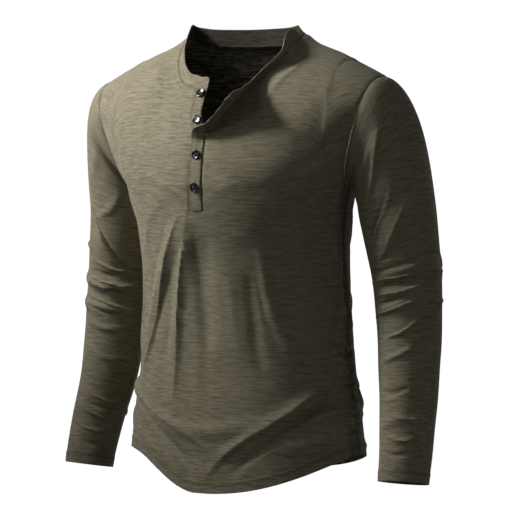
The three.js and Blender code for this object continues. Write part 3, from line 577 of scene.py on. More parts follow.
def pull_open(points):
    """Draws the open side of the neckline outwards and down the chest, most at one place, fading all
    round it as a bell curve."""
    away = np.linalg.norm(points - np.array(NECK_PULL["at"]), axis=-1) / NECK_PULL["reach"]
    return points + np.exp(-(away**2))[..., None] * np.array(NECK_PULL["by"])


def mirrored(points):
    """The other half of a panel, with its columns in the same order from right to left."""
    return points[::-1] * np.array([-1, 1, 1])


def fold_height(from_x, from_z, to_x, to_z, sway, sag, rise, wide, x, z):
    """A soft ridge or trough along a bent line, with a rounded section, fading out at both ends."""
    run_x, run_z = to_x - from_x, to_z - from_z
    length = np.hypot(run_x, run_z)
    t = clamp(((x - from_x) * run_x + (z - from_z) * run_z) / length**2)
    bend = 4 * t * (1 - t)
    away_x = x - from_x - run_x * t - sway * bend
    away_z = z - from_z - run_z * t - sag * bend
    off = clamp(np.abs(away_x * run_z - away_z * run_x) / (length * wide))
    return rise * bend**FOLD_FADE * (1 - off**2) ** 2


def smooth_path(points, steps):
    """A Catmull-Rom curve through the points."""
    p = np.array(points, float)
    p = np.concatenate([2 * p[:1] - p[1:2], p, 2 * p[-1:] - p[-2:-1]])
    t = np.linspace(0, 1, steps, endpoint=False)[:, None]
    spans = []
    for a, b, c, d in zip(p, p[1:], p[2:], p[3:]):
        square = 2 * a - 5 * b + 4 * c - d
        cube = 3 * b - a - 3 * c + d
        spans.append(0.5 * (2 * b + (c - a) * t + square * t**2 + cube * t**3))
    return np.concatenate([*spans, p[-2:-1]])


def crease_height(row, x, z):
    """One crease along a smooth path: its half width runs from one value to another, one flank can
    be wider, its section goes from a rounded to a peaked one, and it fades at both ends."""
    points, rise, wide_from, wide_to, skew, crisp = row
    path = smooth_path(points, 5)
    reach = 2 * max(wide_from, wide_to)
    low, high = path.min(0) - reach, path.max(0) + reach
    inside = (x > low[0]) & (x < high[0]) & (z > low[1]) & (z < high[1])
    height = np.zeros(np.shape(x))
    if not inside.any():
        return height
    q = np.stack([x[inside], z[inside]], 1)[:, None]
    a, run = path[None, :-1], np.diff(path, axis=0)[None]
    length = np.linalg.norm(run, axis=2)
    t = clamp(((q - a) * run).sum(2) / length**2)
    away = q - a - run * t[..., None]
    distance = np.linalg.norm(away, axis=2)
    k = distance.argmin(1)
    rows = np.arange(len(k))
    done = np.concatenate([[0], np.cumsum(length[0])])
    share = (done[k] + t[rows, k] * length[0][k]) / done[-1]
    left = np.sign(run[0, k, 0] * away[rows, k, 1] - run[0, k, 1] * away[rows, k, 0])
    wide = mix(wide_from, wide_to, share) * (1 + skew * left)
    off = clamp(distance[rows, k] / wide)
    peaked = (1 - np.sqrt(off**2 + PEAK_ROUND) + np.sqrt(PEAK_ROUND)) * (1 - off) * (1 + off)
    section = mix((1 - off**2) ** 2, clamp(peaked) ** 1.4 * (1 - off), crisp)
    ends = 4 * share * (1 - share)
    height[inside] = rise * clamp(ends) ** 0.8 * section
    return height


def soft_noise(x, z, cell, seed):
    """Smooth noise from -1 to 1 on a lattice of the given cell size."""
    values = np.random.default_rng(seed).uniform(-1, 1, (LATTICE, LATTICE))
    i, j = np.floor(x / cell).astype(int), np.floor(z / cell).astype(int)
    s, t = smooth(x / cell - i), smooth(z / cell - j)

    def corner(a, b):
        """The value at one corner of each point's cell."""
        return values[(i + a) % LATTICE, (j + b) % LATTICE]

    return mix(mix(corner(0, 0), corner(1, 0), s), mix(corner(0, 1), corner(1, 1), s), t)


def body_height(side, points, depth):
    """All folds and creases of a body panel: those below the armpits by the way round, those of the
    chest and the back by x and z, deeper near the side seams, and a faint unevenness all over."""
    x, z = points[..., 0], points[..., 2]
    half = along(BODY, np.minimum(z, ARMPIT["z"]))[0]
    turn = np.sign(x) * turn_at(x, half)
    u = GIRTH * (turn if side < 0 else 2 * np.where(x < 0, -1, 1) - turn)
    below = smooth((ARMPIT["z"] + 6 - z) / 12)
    height = below * sum(fold_height(*row, u, z) for row in BODY_FOLDS)
    fine = below * sum(crease_height(row, u, z) for row in BODY_CREASES)
    chest = CHEST_CREASES if side < 0 else BACK_CREASES
    fine = fine + sum(crease_height(row, x, z) for row in chest)
    at_side = np.exp(-(((np.abs(u) - GIRTH) / SIDE_CREASING["wide"]) ** 2))
    fine = fine * (1 + SIDE_CREASING["more"] * at_side)
    fine = fine + sum(high * soft_noise(u, z, cell, seed) for high, cell, seed in BODY_UNEVEN)
    return height + depth * fine


# Front opening
def flap_frame():
    """The line that the open corner turns about, with the directions along, into and out of it."""
    def on_chest(x, z):
        """The chest's point at x and height z."""
        return upper(-1, x, rise_at(x, z))

    low = on_chest(FLAP["low_x"], FLAP["low_z"])
    high = on_chest(FLAP["high_x"], FLAP["high_z"])
    length = np.linalg.norm(high - low)
    line = (high - low) / length
    x, z = (FLAP["low_x"] + FLAP["high_x"]) / 2, (FLAP["low_z"] + FLAP["high_z"]) / 2
    across = on_chest(x + FLAP_SIDE["x"], z + FLAP_SIDE["z"]) - on_chest(x, z)
    out = unit(np.cross(line, across))
    return low, line, length, out, np.cross(out, line)


def turn_out(points):
    """Rolls what lies inside the flap's line outwards, round a bend and then straight on."""
    low, line, length, out, inward = flap_frame()
    offset = points - low
    across, up, height = offset @ inward, offset @ line, offset @ out
    foot = smooth((up + FLAP["low_ease"] / 2) / FLAP["low_ease"])
    head = smooth((length + FLAP["high_ease"] - up) / FLAP["high_ease"])
    full = np.radians(FLAP["turn"]) * foot * head
    angle = np.minimum(across / FLAP["roll"], full)
    rest = np.maximum(0, across - FLAP["roll"] * full)
    flat = FLAP["roll"] * np.sin(angle) + rest * np.cos(angle) - height * np.sin(angle)
    lifted = FLAP["roll"] * (1 - np.cos(angle)) + rest * np.sin(angle) + height * np.cos(angle)
    turned = low + up[..., None] * line + flat[..., None] * inward + lifted[..., None] * out
    return np.where((across > 0)[..., None], turned, points)


def draw_aside(points):
    """Slides the wearer's right edge of the opening over the chest, most at the slot."""
    x, y, z = np.moveaxis(points, -1, 0)
    height = smooth((z - ASIDE["start"]) / (ASIDE["end"] - ASIDE["start"]))
    moved = x - ASIDE["pull"] * height * (1 - smooth((-x - PLACKET["half"]) / ASIDE["fade"]))
    slid = y + upper(-1, moved, rise_at(moved, z))[..., 1] - upper(-1, x, rise_at(x, z))[..., 1]
    return np.where((z > ASIDE["start"])[..., None], point(moved, slid, z), points)


def closed_share(z):
    """1 where the opening is buttoned up, falling to 0 where it stands open."""
    return 1 - smooth((z - PLACKET["closed_to"]) / (PLACKET["open_from"] - PLACKET["closed_to"]))


def slot_edge():
    """The slot's right edge from its foot to the neckline, before it is drawn aside."""
    column = half_body(-1, PLACKET["half"], np.array([0.0]))[0]
    return column[FINE["lower"] - 1 :]


def strip(edge, left, right, count):
    """A grid of columns side by side, each a copy of the slot's edge moved to its own x."""
    x = np.linspace(left, right, count)[:, None]
    return point(x + 0 * edge[None, :, 0], edge[None, :, 1], edge[None, :, 2])


# Neckband
def neck_feet():
    """Where the band stands: the under strip's end, round the neck by the right, to the over strip."""
    share = np.linspace(0, NECK_STEPS / (NECK_STEPS + SHOULDER_STEPS), NECK_STEPS * FINE["neck"] + 1)
    front = half_body(-1, PLACKET["half"], share)[:, -1]
    back = half_body(1, 0, share, HEM["back_curve"])[:, -1]
    top = slot_edge()[-1]
    under_x = np.linspace(PLACKET["free"], -PLACKET["half"], FINE["band_end"] + 1)[:-1]
    over_x = np.linspace(PLACKET["half"], -PLACKET["half"], FINE["band_end"] + 1)[1:]
    under = draw_aside(point(under_x, top[1], top[2]))
    right = draw_aside(front * [-1, 1, 1])
    over = point(over_x, top[1], top[2])
    around = [under, right[:-1], (back * [-1, 1, 1])[::-1][:-1], back[:-1], front[::-1], over]
    open_from = len(under) + len(right) - 1 + 2 * (len(back) - 1)
    return np.concatenate(around), open_from


def band_grid():
    """The band's middle surface. Each column leans to a point above the neck, except at the sides
    and on the open side, where it stands upright. Its two front ends are rounded."""
    feet, open_from = neck_feet()
    forward = clamp((SHOULDER["ridge_y"] - feet[:, 1]) / BAND["lean_over"])
    upright = np.where(feet[:, 0] > 0, BAND["upright"], BAND["upright"] * (1 - forward))
    target = point(feet[:, 0] * upright, SHOULDER["ridge_y"], BAND["apex_up"])
    lean = unit(target - feet)
    walk_open = np.arange(len(feet)) - open_from
    swing = smooth(walk_open / BAND_TURN["swings"])[:, None]
    inward = unit(mix(np.array(INWARD["shoulder"]), np.array(INWARD["later"]), swing))
    before = smooth(1 + walk_open / BAND_TURN["lies_from"])
    lying = np.where(walk_open < 0, before, 1 - smooth(walk_open / BAND_TURN["lies_to"]))
    lean = unit(mix(lean, inward, BAND_TURN["share"] * lying[:, None]))
    sideways = clamp(np.abs(feet[:, 0]) / NECK["half"]) ** 4
    walk = walked(feet)
    from_end = np.minimum(walk, walk[-1] - walk)
    rounding = BAND["end_round"] * (1 - np.sqrt(1 - (1 - clamp(from_end / BAND["end_run"])) ** 2))
    height = mix(mix(BAND["height"], BAND["side"], sideways), BAND["height"], lying) - rounding
    rows = np.linspace(0, 1, FINE["band"] + 1)
    grid = feet[:, None] + lean[:, None] * (height[:, None] * rows)[..., None]
    ease = smooth(np.arange(len(grid) - open_from) / BAND_TURN["eases"])[:, None, None]
    level = grid[open_from:]
    turned_feet = turn_out(level[:, :1])
    grid[open_from:] = mix(turned_feet + level - level[:, :1], turn_out(level), ease)
    return pull_open(grid)


# Sleeves
def arm_ring(arm, around, z):
    """Rings square to the arm's centre line: an oval in the plane across it."""
    x, y, across, through = along(ARM, z)
    above = along(ARM, z + 1)
    sideways = unit(point(1, 0, x - above[0]))
    forwards = unit(point(0, 1, y - above[1]))
    closer = arm["inner"] * smooth((z - WRIST) / (ELBOW_LOW - WRIST))
    p = point(x - closer, y, z)
    p = p + sideways * (across * np.cos(around))[..., None]
    p = p - forwards * (through * np.sin(around))[..., None]
    return p * [arm["mirror"], 1, 1]


def armhole_ring(arm, count):
    """The armhole from the shoulder tip down the front to the armpit and up the back."""
    quarter = count // 2
    rise = np.linspace(1, 0, quarter + 1)
    front = upper(-1, armhole_column(rise), rise)
    back = upper(1, armhole_column(rise), rise)[::-1][1:-1]
    ring = np.concatenate([front, back])
    return ring * [arm["mirror"], 1, 1]


def armhole_column(rise):
    """x of the body panels' last column at a rise."""
    return mix(armhole_x(rise), SHOULDER["tip_x"], rise**COLUMN_SWEEP)


def arm_rows(arm):
    """Heights of the sleeve's rows below its head, closer at the turned cuff."""
    cuff = arm["foot"] + CUFF_ROWS_FROM
    rows = np.linspace(ARM_TOP, cuff, FINE["sleeve_arm"] + 1 - FINE["hem"])
    return np.concatenate([rows, np.linspace(cuff, arm["foot"], FINE["hem"] + 1)[1:]])


def sleeve_grid(arm):
    """A sleeve: a cubic run from the armhole, leaving it sideways and joining the arm downwards, and
    then ovals down to the cuff."""
    count = FINE["sleeve_round"]
    ring = armhole_ring(arm, count)
    around = np.arange(count) / count * ROUND
    top = arm_ring(arm, around, np.full(count, float(ARM_TOP)))
    over = (1 + np.cos(around)) / 2
    reach = mix(HEAD["under"], HEAD["over"], over)[:, None]
    leave = unit(np.array([arm["mirror"], 0, -HEAD["lean"]])) * reach
    arrive = unit(arm_ring(arm, around, np.full(count, ARM_TOP - 10.0)) - top) * HEAD["down"]
    t = (np.arange(FINE["sleeve_head"]) / FINE["sleeve_head"])[None, :, None]
    head = (
        ring[:, None] * (2 * t**3 - 3 * t**2 + 1)
        + leave[:, None] * (t**3 - 2 * t**2 + t)
        + top[:, None] * (3 * t**2 - 2 * t**3)
        + arrive[:, None] * (t**3 - t**2)
    )
    z = arm_rows(arm)
    low = arm_ring(arm, np.repeat(around[:, None], len(z), 1), np.repeat(z[None], count, 0))
    return np.concatenate([head, low], axis=1)


def sleeve_height(folds, creases, arm, count, depth):
    """Folds and creases of a sleeve by angle and height, counted once round either way, and a faint
    unevenness of two crossed sines."""
    heights = np.concatenate([
        ARM_TOP + HEAD["run"] * (1 - np.arange(FINE["sleeve_head"]) / FINE["sleeve_head"]),
        arm_rows(arm),
    ])
    angle = np.arange(count) / count * 360
    total, fine = 0, 0
    for whole in (-360, 0, 360):
        x = np.radians(angle + whole)[:, None] * ARM_ROUND + 0 * heights[None]
        z = heights[None] + 0 * x
        for a0, h0, a1, h1, sag, rise, wide in folds:
            ends = np.radians(a0) * ARM_ROUND, h0, np.radians(a1) * ARM_ROUND, h1
            total = total + fold_height(*ends, 0, sag, rise, wide, x, z)
        for points, *rest in creases:
            run = [(np.radians(a) * ARM_ROUND, h) for a, h in points]
            fine = fine + crease_height((run, *rest), x, z)
    around = np.radians(angle)[:, None]
    wave = np.sin(2 * around + heights[None] / SLEEVE_UNEVEN["slant"])
    fine = fine + SLEEVE_UNEVEN["high"] * wave * np.sin(heights[None] / SLEEVE_UNEVEN["climb"] + around)
    grown = smooth(np.arange(len(heights)) / (FINE["sleeve_head"] * FOLD_START))
    return (total + depth * fine) * grown[None, :]


# Grids into meshes
def grid_normals(grid, closed=False):
    """Normals from the differences between neighbours along both ways of the grid."""
    if closed:
        across = np.roll(grid, -1, 0) - np.roll(grid, 1, 0)
    else:
        across = np.gradient(grid, axis=0)
    up = np.gradient(grid, axis=1)
    return unit(np.cross(across, up))


def grid_faces(columns, rows, closed=False, missing=None, flip=False):
    """Quads between neighbouring columns and rows, leaving out the cells marked missing."""
    i, j = np.meshgrid(np.arange(columns if closed else columns - 1), np.arange(rows - 1), indexing="ij")
    keep = np.ones(i.shape, bool) if missing is None else ~missing
    i, j = i[keep], j[keep]
    after = (i + 1) % columns
    quads = np.stack([i * rows + j, after * rows + j, after * rows + j + 1, i * rows + j + 1], 1)
    return quads[:, ::-1] if flip else quads


def cloth_places(side, points):
    """UV in metres: on level sections the way round and the height, and above the armpits the
    lengths across and up the arch, so that the courses of the knit run level over the chest."""
    x, z = points[..., 0], points[..., 2]
    span = np.linspace(0, SHOULDER["tip_x"] + 4, 60)
    climb = np.linspace(0, 1, 80)
    arch = upper(side, span[:, None], climb[None, :])
    a = clamp(np.abs(x) / span[-1]) * (len(span) - 1.001)
    b = clamp(rise_at(x, z)) * (len(climb) - 1.001)
    i, j = a.astype(int), b.astype(int)
    s, t = a - i, b - j
    high = [
        mix(mix(table[i, j], table[i + 1, j], s), mix(table[i, j + 1], table[i + 1, j + 1], s), t)
        for table in (walked(arch, 0), walked(arch, 1))
    ]
    half = along(BODY, np.minimum(z, ARMPIT["z"]))[0]
    share = turn_at(x, half)
    levels = np.linspace(0, 1, 60)
    level = lower(side, levels, ARMPIT["z"])
    low_u = np.interp(share, levels, walked(level)) * half / ARMPIT["x"]
    is_low = z <= ARMPIT["z"]
    u = np.where(is_low, low_u, high[0]) * np.sign(x)
    v = np.where(is_low, z - ARMPIT["z"], high[1])
    return np.stack([u, v], -1) * MM


def new_object(
    name, vertices, faces, uv=None, values=None, material=None, smooth_faces=True, girth=None,
):
    """Makes a mesh object from arrays in metres, with a UV map and float attributes for its points.
    On a tube of quads, girth is added to the low u of those that cross the UV map's join."""
    mesh = bpy.data.meshes.new(name)
    mesh.from_pydata(vertices.tolist(), [], faces.tolist() if isinstance(faces, np.ndarray) else faces)
    mesh.update()
    if uv is not None:
        corners = np.empty(len(mesh.loops), np.int32)
        mesh.loops.foreach_get("vertex_index", corners)
        layer = mesh.uv_layers.new(name="Cloth")
        placed = uv[corners]
        if girth:
            u = placed[:, 0].reshape(-1, 4)
            crossing = u.max(1, keepdims=True) - u > girth / 2
            placed[:, 0] = (u + girth * crossing).ravel()
        layer.data.foreach_set("uv", placed.astype(np.float32).ravel())
    for key, data in (values or {}).items():
        mesh.attributes.new(key, "FLOAT", "POINT").data.foreach_set("value", data.astype(np.float32))
    if smooth_faces:
        mesh.shade_smooth()
    obj = bpy.data.objects.new(name, mesh)
    bpy.context.collection.objects.link(obj)
    for one in material or []:
        mesh.materials.append(one)
    return obj


def apply_modifiers(obj):
    """Puts the mesh that the object's modifiers make in place of its own."""
    graph = bpy.context.evaluated_depsgraph_get()
    done = bpy.data.meshes.new_from_object(
        obj.evaluated_get(graph), preserve_all_data_layers=True, depsgraph=graph)
    obj.modifiers.clear()
    old = obj.data
    obj.data = done
    bpy.data.meshes.remove(old)
    done.name = obj.name
    return done


def solidify(obj, thick):
    """Gives a thin shell its wall, inwards, with its second material inside and crisp cut edges."""
    wall = obj.modifiers.new("Wall", "SOLIDIFY")
    wall.thickness = thick
    wall.offset = -1
    wall.use_even_offset = True
    wall.material_offset = 1
    apply_modifiers(obj).set_sharp_from_angle(angle=CLOTH_CRISP)


def weld(obj):
    """Merges doubled points, as where a grid's halves meet."""
    bm = bmesh.new()
    bm.from_mesh(obj.data)
    bmesh.ops.remove_doubles(bm, verts=bm.verts, dist=1e-5)
    loose = [v for v in bm.verts if not v.link_faces]
    bmesh.ops.delete(bm, geom=loose, context="VERTS")
    bm.to_mesh(obj.data)
    bm.free()


def keep_piece(obj, slot, *nodes):
    """Rides the piece on the part's one body and hides the nodes it stands for. The slot argument is not
    used.
    """
    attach(obj, "root")
    if nodes:
        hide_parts(*nodes)
    return obj


def edge_dip(distance, depth, width):
    """How far cloth sinks towards a seam: full depth at the seam, none at width."""
    return -depth * (1 - smooth(distance / width))


def turned_hem(distance, hem):
    """How far the doubled cloth of a hem stands out, up to its own height from the edge."""
    return HEM_STEP["rise"] * (1 - smooth((distance - hem) / HEM_STEP["run"]))


def twin_rows(distance, hem):
    """The way to the nearer of a hem's two rows of stitches."""
    return np.minimum(np.abs(distance - hem), np.abs(distance - hem + TWIN_GAP))


def line_across(grid, normals, distance):
    """The points and normals of a line across the columns, a given way along each of them. A
    negative distance counts from the columns' ends."""
    walk = walked(grid, 1)
    goal = distance if distance >= 0 else walk[:, -1:] + distance
    goal = np.broadcast_to(np.asarray(goal, float).reshape(-1, 1), (len(grid), 1))
    k = np.clip((walk < goal).sum(1) - 1, 0, grid.shape[1] - 2)
    rows = np.arange(len(grid))
    t = ((goal[:, 0] - walk[rows, k]) / (walk[rows, k + 1] - walk[rows, k] + 1e-9))[:, None]
    p = mix(grid[rows, k], grid[rows, k + 1], t)
    return p, unit(mix(normals[rows, k], normals[rows, k + 1], t))


# Materials
def plug(tree, value, socket):
    """Feeds a socket from another node's output, or gives it a plain value."""
    if hasattr(value, "links"):
        tree.links.new(value, socket)
    else:
        socket.default_value = value


def set_inputs(node, values):
    """Feeds or sets a node's inputs by name."""
    for name, value in values.items():
        plug(node.id_data, value, node.inputs[name])


def add_node(tree, kind, **settings):
    """Adds a node and gives it its settings."""
    node = tree.nodes.new(kind)
    for name, value in settings.items():
        setattr(node, name, value)
    return node


def maths(tree, operation, a, b=None, clamped=False):
    """One sum of two values, kept between 0 and 1 where it is clamped."""
    node = add_node(tree, "ShaderNodeMath", operation=operation, use_clamp=clamped)
    for socket, value in zip(node.inputs, (a, b)):
        if value is not None:
            plug(tree, value, socket)
    return node.outputs[0]


def streaks(tree, coordinate, scale, detail, distortion=0.0):
    """Noise drawn out along the cloth's courses: scale is in waves per metre across and along."""
    mapping = add_node(tree, "ShaderNodeMapping")
    set_inputs(mapping, {"Vector": coordinate, "Scale": scale})
    noise = add_node(tree, "ShaderNodeTexNoise")
    set_inputs(noise, {"Vector": mapping.outputs[0], "Scale": 1})
    set_inputs(noise, {"Detail": detail, "Distortion": distortion})
    return noise.outputs["Fac"]


def speckle(tree, scale, detail):
    """Even noise in the piece's own Object coordinates."""
    noise = add_node(tree, "ShaderNodeTexNoise")
    place = add_node(tree, "ShaderNodeTexCoord").outputs["Object"]
    set_inputs(noise, {"Vector": place, "Scale": scale, "Detail": detail})
    return noise.outputs["Fac"]


def ramp(tree, value, low, high):
    """0 below low, 1 above high, and a straight line between them."""
    node = add_node(tree, "ShaderNodeMapRange")
    set_inputs(node, {"Value": value, "From Min": low, "From Max": high})
    return node.outputs["Result"]


def blend(tree, mode, factor, a, b):
    """Colour b laid over colour a, in a mode and by a share."""
    node = add_node(tree, "ShaderNodeMix", data_type="RGBA", blend_type=mode)
    for socket, value in ((node.inputs[0], factor), (node.inputs[6], a), (node.inputs[7], b)):
        plug(tree, value, socket)
    return node.outputs[2]


def bump(tree, height, distance, strength=1.0):
    """The normal of a surface raised by a height."""
    node = add_node(tree, "ShaderNodeBump")
    set_inputs(node, {"Height": height, "Distance": distance, "Strength": strength})
    return node.outputs[0]


def shaded(colour, share):
    """A colour made darker or lighter by a share, with full alpha."""
    return tuple(c * share for c in colour[:3]) + (1,)


def new_material(name):
    """A new material, its node tree and its main shader."""
    material = bpy.data.materials.new(name)
    material.use_nodes = True
    tree = material.node_tree
    return material, tree, tree.nodes["Principled BSDF"]


def slub_group():
    """Slub jersey: long uneven streaks of thick yarn along the courses, small knit stitches, puckers
    beside the seams, and painted shade that darkens the colour along seams, stitch lines and the strips'
    edges."""
    name = "Slub jersey"
    if name in bpy.data.node_groups:
        return bpy.data.node_groups[name]
    tree = bpy.data.node_groups.new(name, "ShaderNodeTree")
    face = tree.interface
    for label in ("Cloth colour", "Slub colour"):
        face.new_socket(label, in_out="INPUT", socket_type="NodeSocketColor")
    for label in ("Slub strength", "Dark strength"):
        face.new_socket(label, in_out="INPUT", socket_type="NodeSocketFloat")
    face.new_socket("Color", in_out="OUTPUT", socket_type="NodeSocketColor")
    for label in ("Roughness", "Height"):
        face.new_socket(label, in_out="OUTPUT", socket_type="NodeSocketFloat")
    start = add_node(tree, "NodeGroupInput")
    end = add_node(tree, "NodeGroupOutput")
    uv = add_node(tree, "ShaderNodeUVMap", uv_map="Cloth").outputs[0]

    def times(a, b, clamped=False):
        """The product of two values."""
        return maths(tree, "MULTIPLY", a, b, clamped)

    def plus(a, b, clamped=False):
        """The sum of two values."""
        return maths(tree, "ADD", a, b, clamped)

    fine = streaks(tree, uv, (72, 600, 1), 4, 0.4)
    middle = streaks(tree, uv, (36, 340, 1), 3, 0.5)
    thick = streaks(tree, uv, (34, 400, 1), 1, 0.5)
    patches = streaks(tree, uv, (5, 9, 1), 2)
    grain = streaks(tree, uv, (330, 900, 1), 2)
    yarns = plus(plus(times(fine, 0.38), times(middle, 0.45)), times(grain, 0.17))
    pale = plus(ramp(tree, yarns, 0.47, 0.62), times(ramp(tree, thick, 0.62, 0.74), 0.5), True)
    pale = times(pale, start.outputs["Slub strength"], True)
    dark = times(ramp(tree, yarns, 0.5, 0.38), start.outputs["Dark strength"], True)
    worn = times(ramp(tree, patches, 0.35, 0.7), 0.15)
    colour = blend(tree, "MULTIPLY", worn, start.outputs["Cloth colour"], (0.6, 0.6, 0.6, 1))
    colour = blend(tree, "MIX", pale, colour, start.outputs["Slub colour"])
    colour = blend(tree, "MULTIPLY", dark, colour, (0.36, 0.36, 0.36, 1))

    separate = add_node(tree, "ShaderNodeSeparateXYZ")
    tree.links.new(uv, separate.inputs[0])
    wales = maths(tree, "SINE", times(separate.outputs[0], ROUND / WALE))
    courses = maths(tree, "SINE", times(separate.outputs[1], ROUND / COURSE))
    knit = times(plus(wales, courses), 0.045)

    seam = add_node(tree, "ShaderNodeAttribute", attribute_name="seam_gap").outputs["Fac"]
    near = maths(tree, "POWER", ramp(tree, seam, 9, 0), 1.6)
    gathered = maths(tree, "SUBTRACT", streaks(tree, uv, (190, 190, 1), 1), 0.5)
    puckers = times(times(gathered, near), 2.2)
    height = plus(plus(plus(times(yarns, 0.55), times(pale, 0.45)), knit), puckers)
    # Painted shade: along seams, stitch lines, strip edges and buttonhole slits the colour is darkened
    # towards 0.3 of itself, for the shade in their sunk grooves.
    painted_seam_shade = times(ramp(tree, seam, 1.6, 0.2), 0.45)
    colour = blend(tree, "MULTIPLY", painted_seam_shade, colour, (0.3, 0.3, 0.3, 1))
    rough = maths(tree, "SUBTRACT", 0.93, times(pale, 0.12))
    set_inputs(end, {"Color": colour, "Roughness": rough, "Height": height})
    return tree


def jersey(name, colour, slub, slub_strength, dark_strength, relief):
    """A jersey material: the slub pattern over a soft, slightly hairy cloth."""
    if name in bpy.data.materials:
        return bpy.data.materials[name]
    material, tree, shader = new_material(name)
    group = add_node(tree, "ShaderNodeGroup", node_tree=slub_group())
    set_inputs(group, {
        "Cloth colour": colour, "Slub colour": slub,
        "Slub strength": slub_strength, "Dark strength": dark_strength,
    })
    set_inputs(shader, {
        "Base Color": group.outputs["Color"],
        "Roughness": group.outputs["Roughness"],
        "Normal": bump(tree, group.outputs["Height"], 0.8 * MM, relief),
        "Sheen Weight": 0.07,
        "Sheen Roughness": 0.5,
        "Specular IOR Level": 0.25,
    })
    return material


def cloth_materials(inside_name="jersey_inside", base=0.6, yarn=1.6, yarn_share=0.85):
    """The jersey's outside, and an inside whose base and slub yarn are given shares of its colours: its
    base is darkened as painted shade for the shirt's inside, and its slub is brighter for the wrong
    side's stronger contrast.
    """
    s = bpy.context.scene.shirt
    colour, slub = tuple(s.cloth_colour), tuple(s.slub_colour)
    outside = jersey("jersey_outside", colour, slub, 0.55, 0.5, 0.8)
    # Inside copy: the darker base is painted shade, and the stronger slub is the knit's own wrong side.
    inside = jersey(inside_name, shaded(colour, base), shaded(slub, yarn), yarn_share, 0.95, 0.9)
    return [outside, inside]


def thread_material():
    """Twisted sewing thread, mottled and faintly rough."""
    name = "sewing_thread"
    if name in bpy.data.materials:
        return bpy.data.materials[name]
    material, tree, shader = new_material(name)
    fibres = speckle(tree, 900, 2)
    colour = tuple(bpy.context.scene.shirt.thread_colour)
    set_inputs(shader, {
        "Base Color": blend(tree, "MIX", fibres, shaded(colour, 0.7), colour),
        "Normal": bump(tree, fibres, 0.1 * MM),
        "Roughness": 0.6,
    })
    return material


def button_material():
    """Glossy moulded plastic with very fine scuffs."""
    name = "black_button"
    if name in bpy.data.materials:
        return bpy.data.materials[name]
    material, tree, shader = new_material(name)
    scuffs = speckle(tree, 420, 4)
    colour = tuple(bpy.context.scene.shirt.button_colour)
    set_inputs(shader, {
        "Base Color": blend(tree, "MIX", scuffs, colour, shaded(colour, 1.9)),
        "Roughness": maths(tree, "ADD", maths(tree, "MULTIPLY", scuffs, 0.12), 0.08),
        "Coat Weight": 0.6,
        "Coat Roughness": 0.05,
    })
    return material


# Body panels
def front_grid():
    """The front: right half, bridge below the slot, left half, with its open corner turned out.
    Returns the points, the points before they were turned out and the cells of the slot."""
    share = np.linspace(0, 1, PANEL)
    left = half_body(-1, PLACKET["half"], share)
    right = mirrored(half_body(-1, PLACKET["half"], share, HEM["right_curve"]))
    count = FINE["bridge"]
    x = np.linspace(-PLACKET["half"], PLACKET["half"], count + 1)[1:-1]
    bridge = np.repeat(left[:1], count - 1, axis=0)
    bridge[..., 0] = x[:, None]
    flat = np.concatenate([right, bridge, left])
    first_left = len(right) + len(bridge)
    points = flat.copy()
    points[first_left:] = pull_open(turn_out(left))
    points[: len(right)] = draw_aside(right)
    missing = np.zeros((len(flat) - 1, flat.shape[1] - 1), bool)
    missing[len(right) - 1 : first_left, FINE["lower"] - 1 :] = True
    return points, flat, missing


def slot_gap(walk):
    """The way from the slot's edge at each point beside the slot, along its row, and far elsewhere."""
    gap = np.full(walk.shape, 99.0)
    rows = np.arange(walk.shape[1]) >= FINE["lower"] - 1
    gap[:PANEL, rows] = (walk[PANEL - 1 : PANEL] - walk[:PANEL])[:, rows]
    gap[-PANEL:, rows] = (walk[-PANEL:] - walk[-PANEL : len(walk) - PANEL + 1])[:, rows]
    return gap


def body_piece(side, name):
    """A body panel with its folds, the sunk seams and the turned hem. Returns it with its grid and
    normals."""
    s = bpy.context.scene.shirt
    hem = s.hem_width / MM
    if side < 0:
        points, flat, missing = front_grid()
    else:
        half = half_body(1, 0, np.linspace(0, 1, PANEL), HEM["back_curve"])
        flat, missing = np.concatenate([mirrored(half), half[1:]]), None
        points = pull_open(flat)
    from_hem = walked(points, 1)
    walk = walked(points, 0)
    from_side = np.minimum(walk, walk[-1:] - walk)
    seam = np.minimum(from_hem[:, -1:] - from_hem, from_side)
    if side < 0:
        seam = np.minimum(seam, slot_gap(walk))
    height = body_height(side, flat, s.crease_depth)
    height = height + edge_dip(seam, *SEAM_DIP) + turned_hem(from_hem, hem)
    grid = points + grid_normals(points) * -side * height[..., None]
    sewn = np.minimum(seam, twin_rows(from_hem, hem))
    obj = new_object(
        name + "_cloth", grid.reshape(-1, 3) * MM,
        grid_faces(*grid.shape[:2], missing=missing, flip=side > 0),
        cloth_places(side, flat).reshape(-1, 2), {"seam_gap": sewn.ravel()}, cloth_materials())
    weld(obj)
    solidify(obj, s.cloth_thick)
    return keep_piece(obj, "jersey", name), grid, grid_normals(grid) * -side


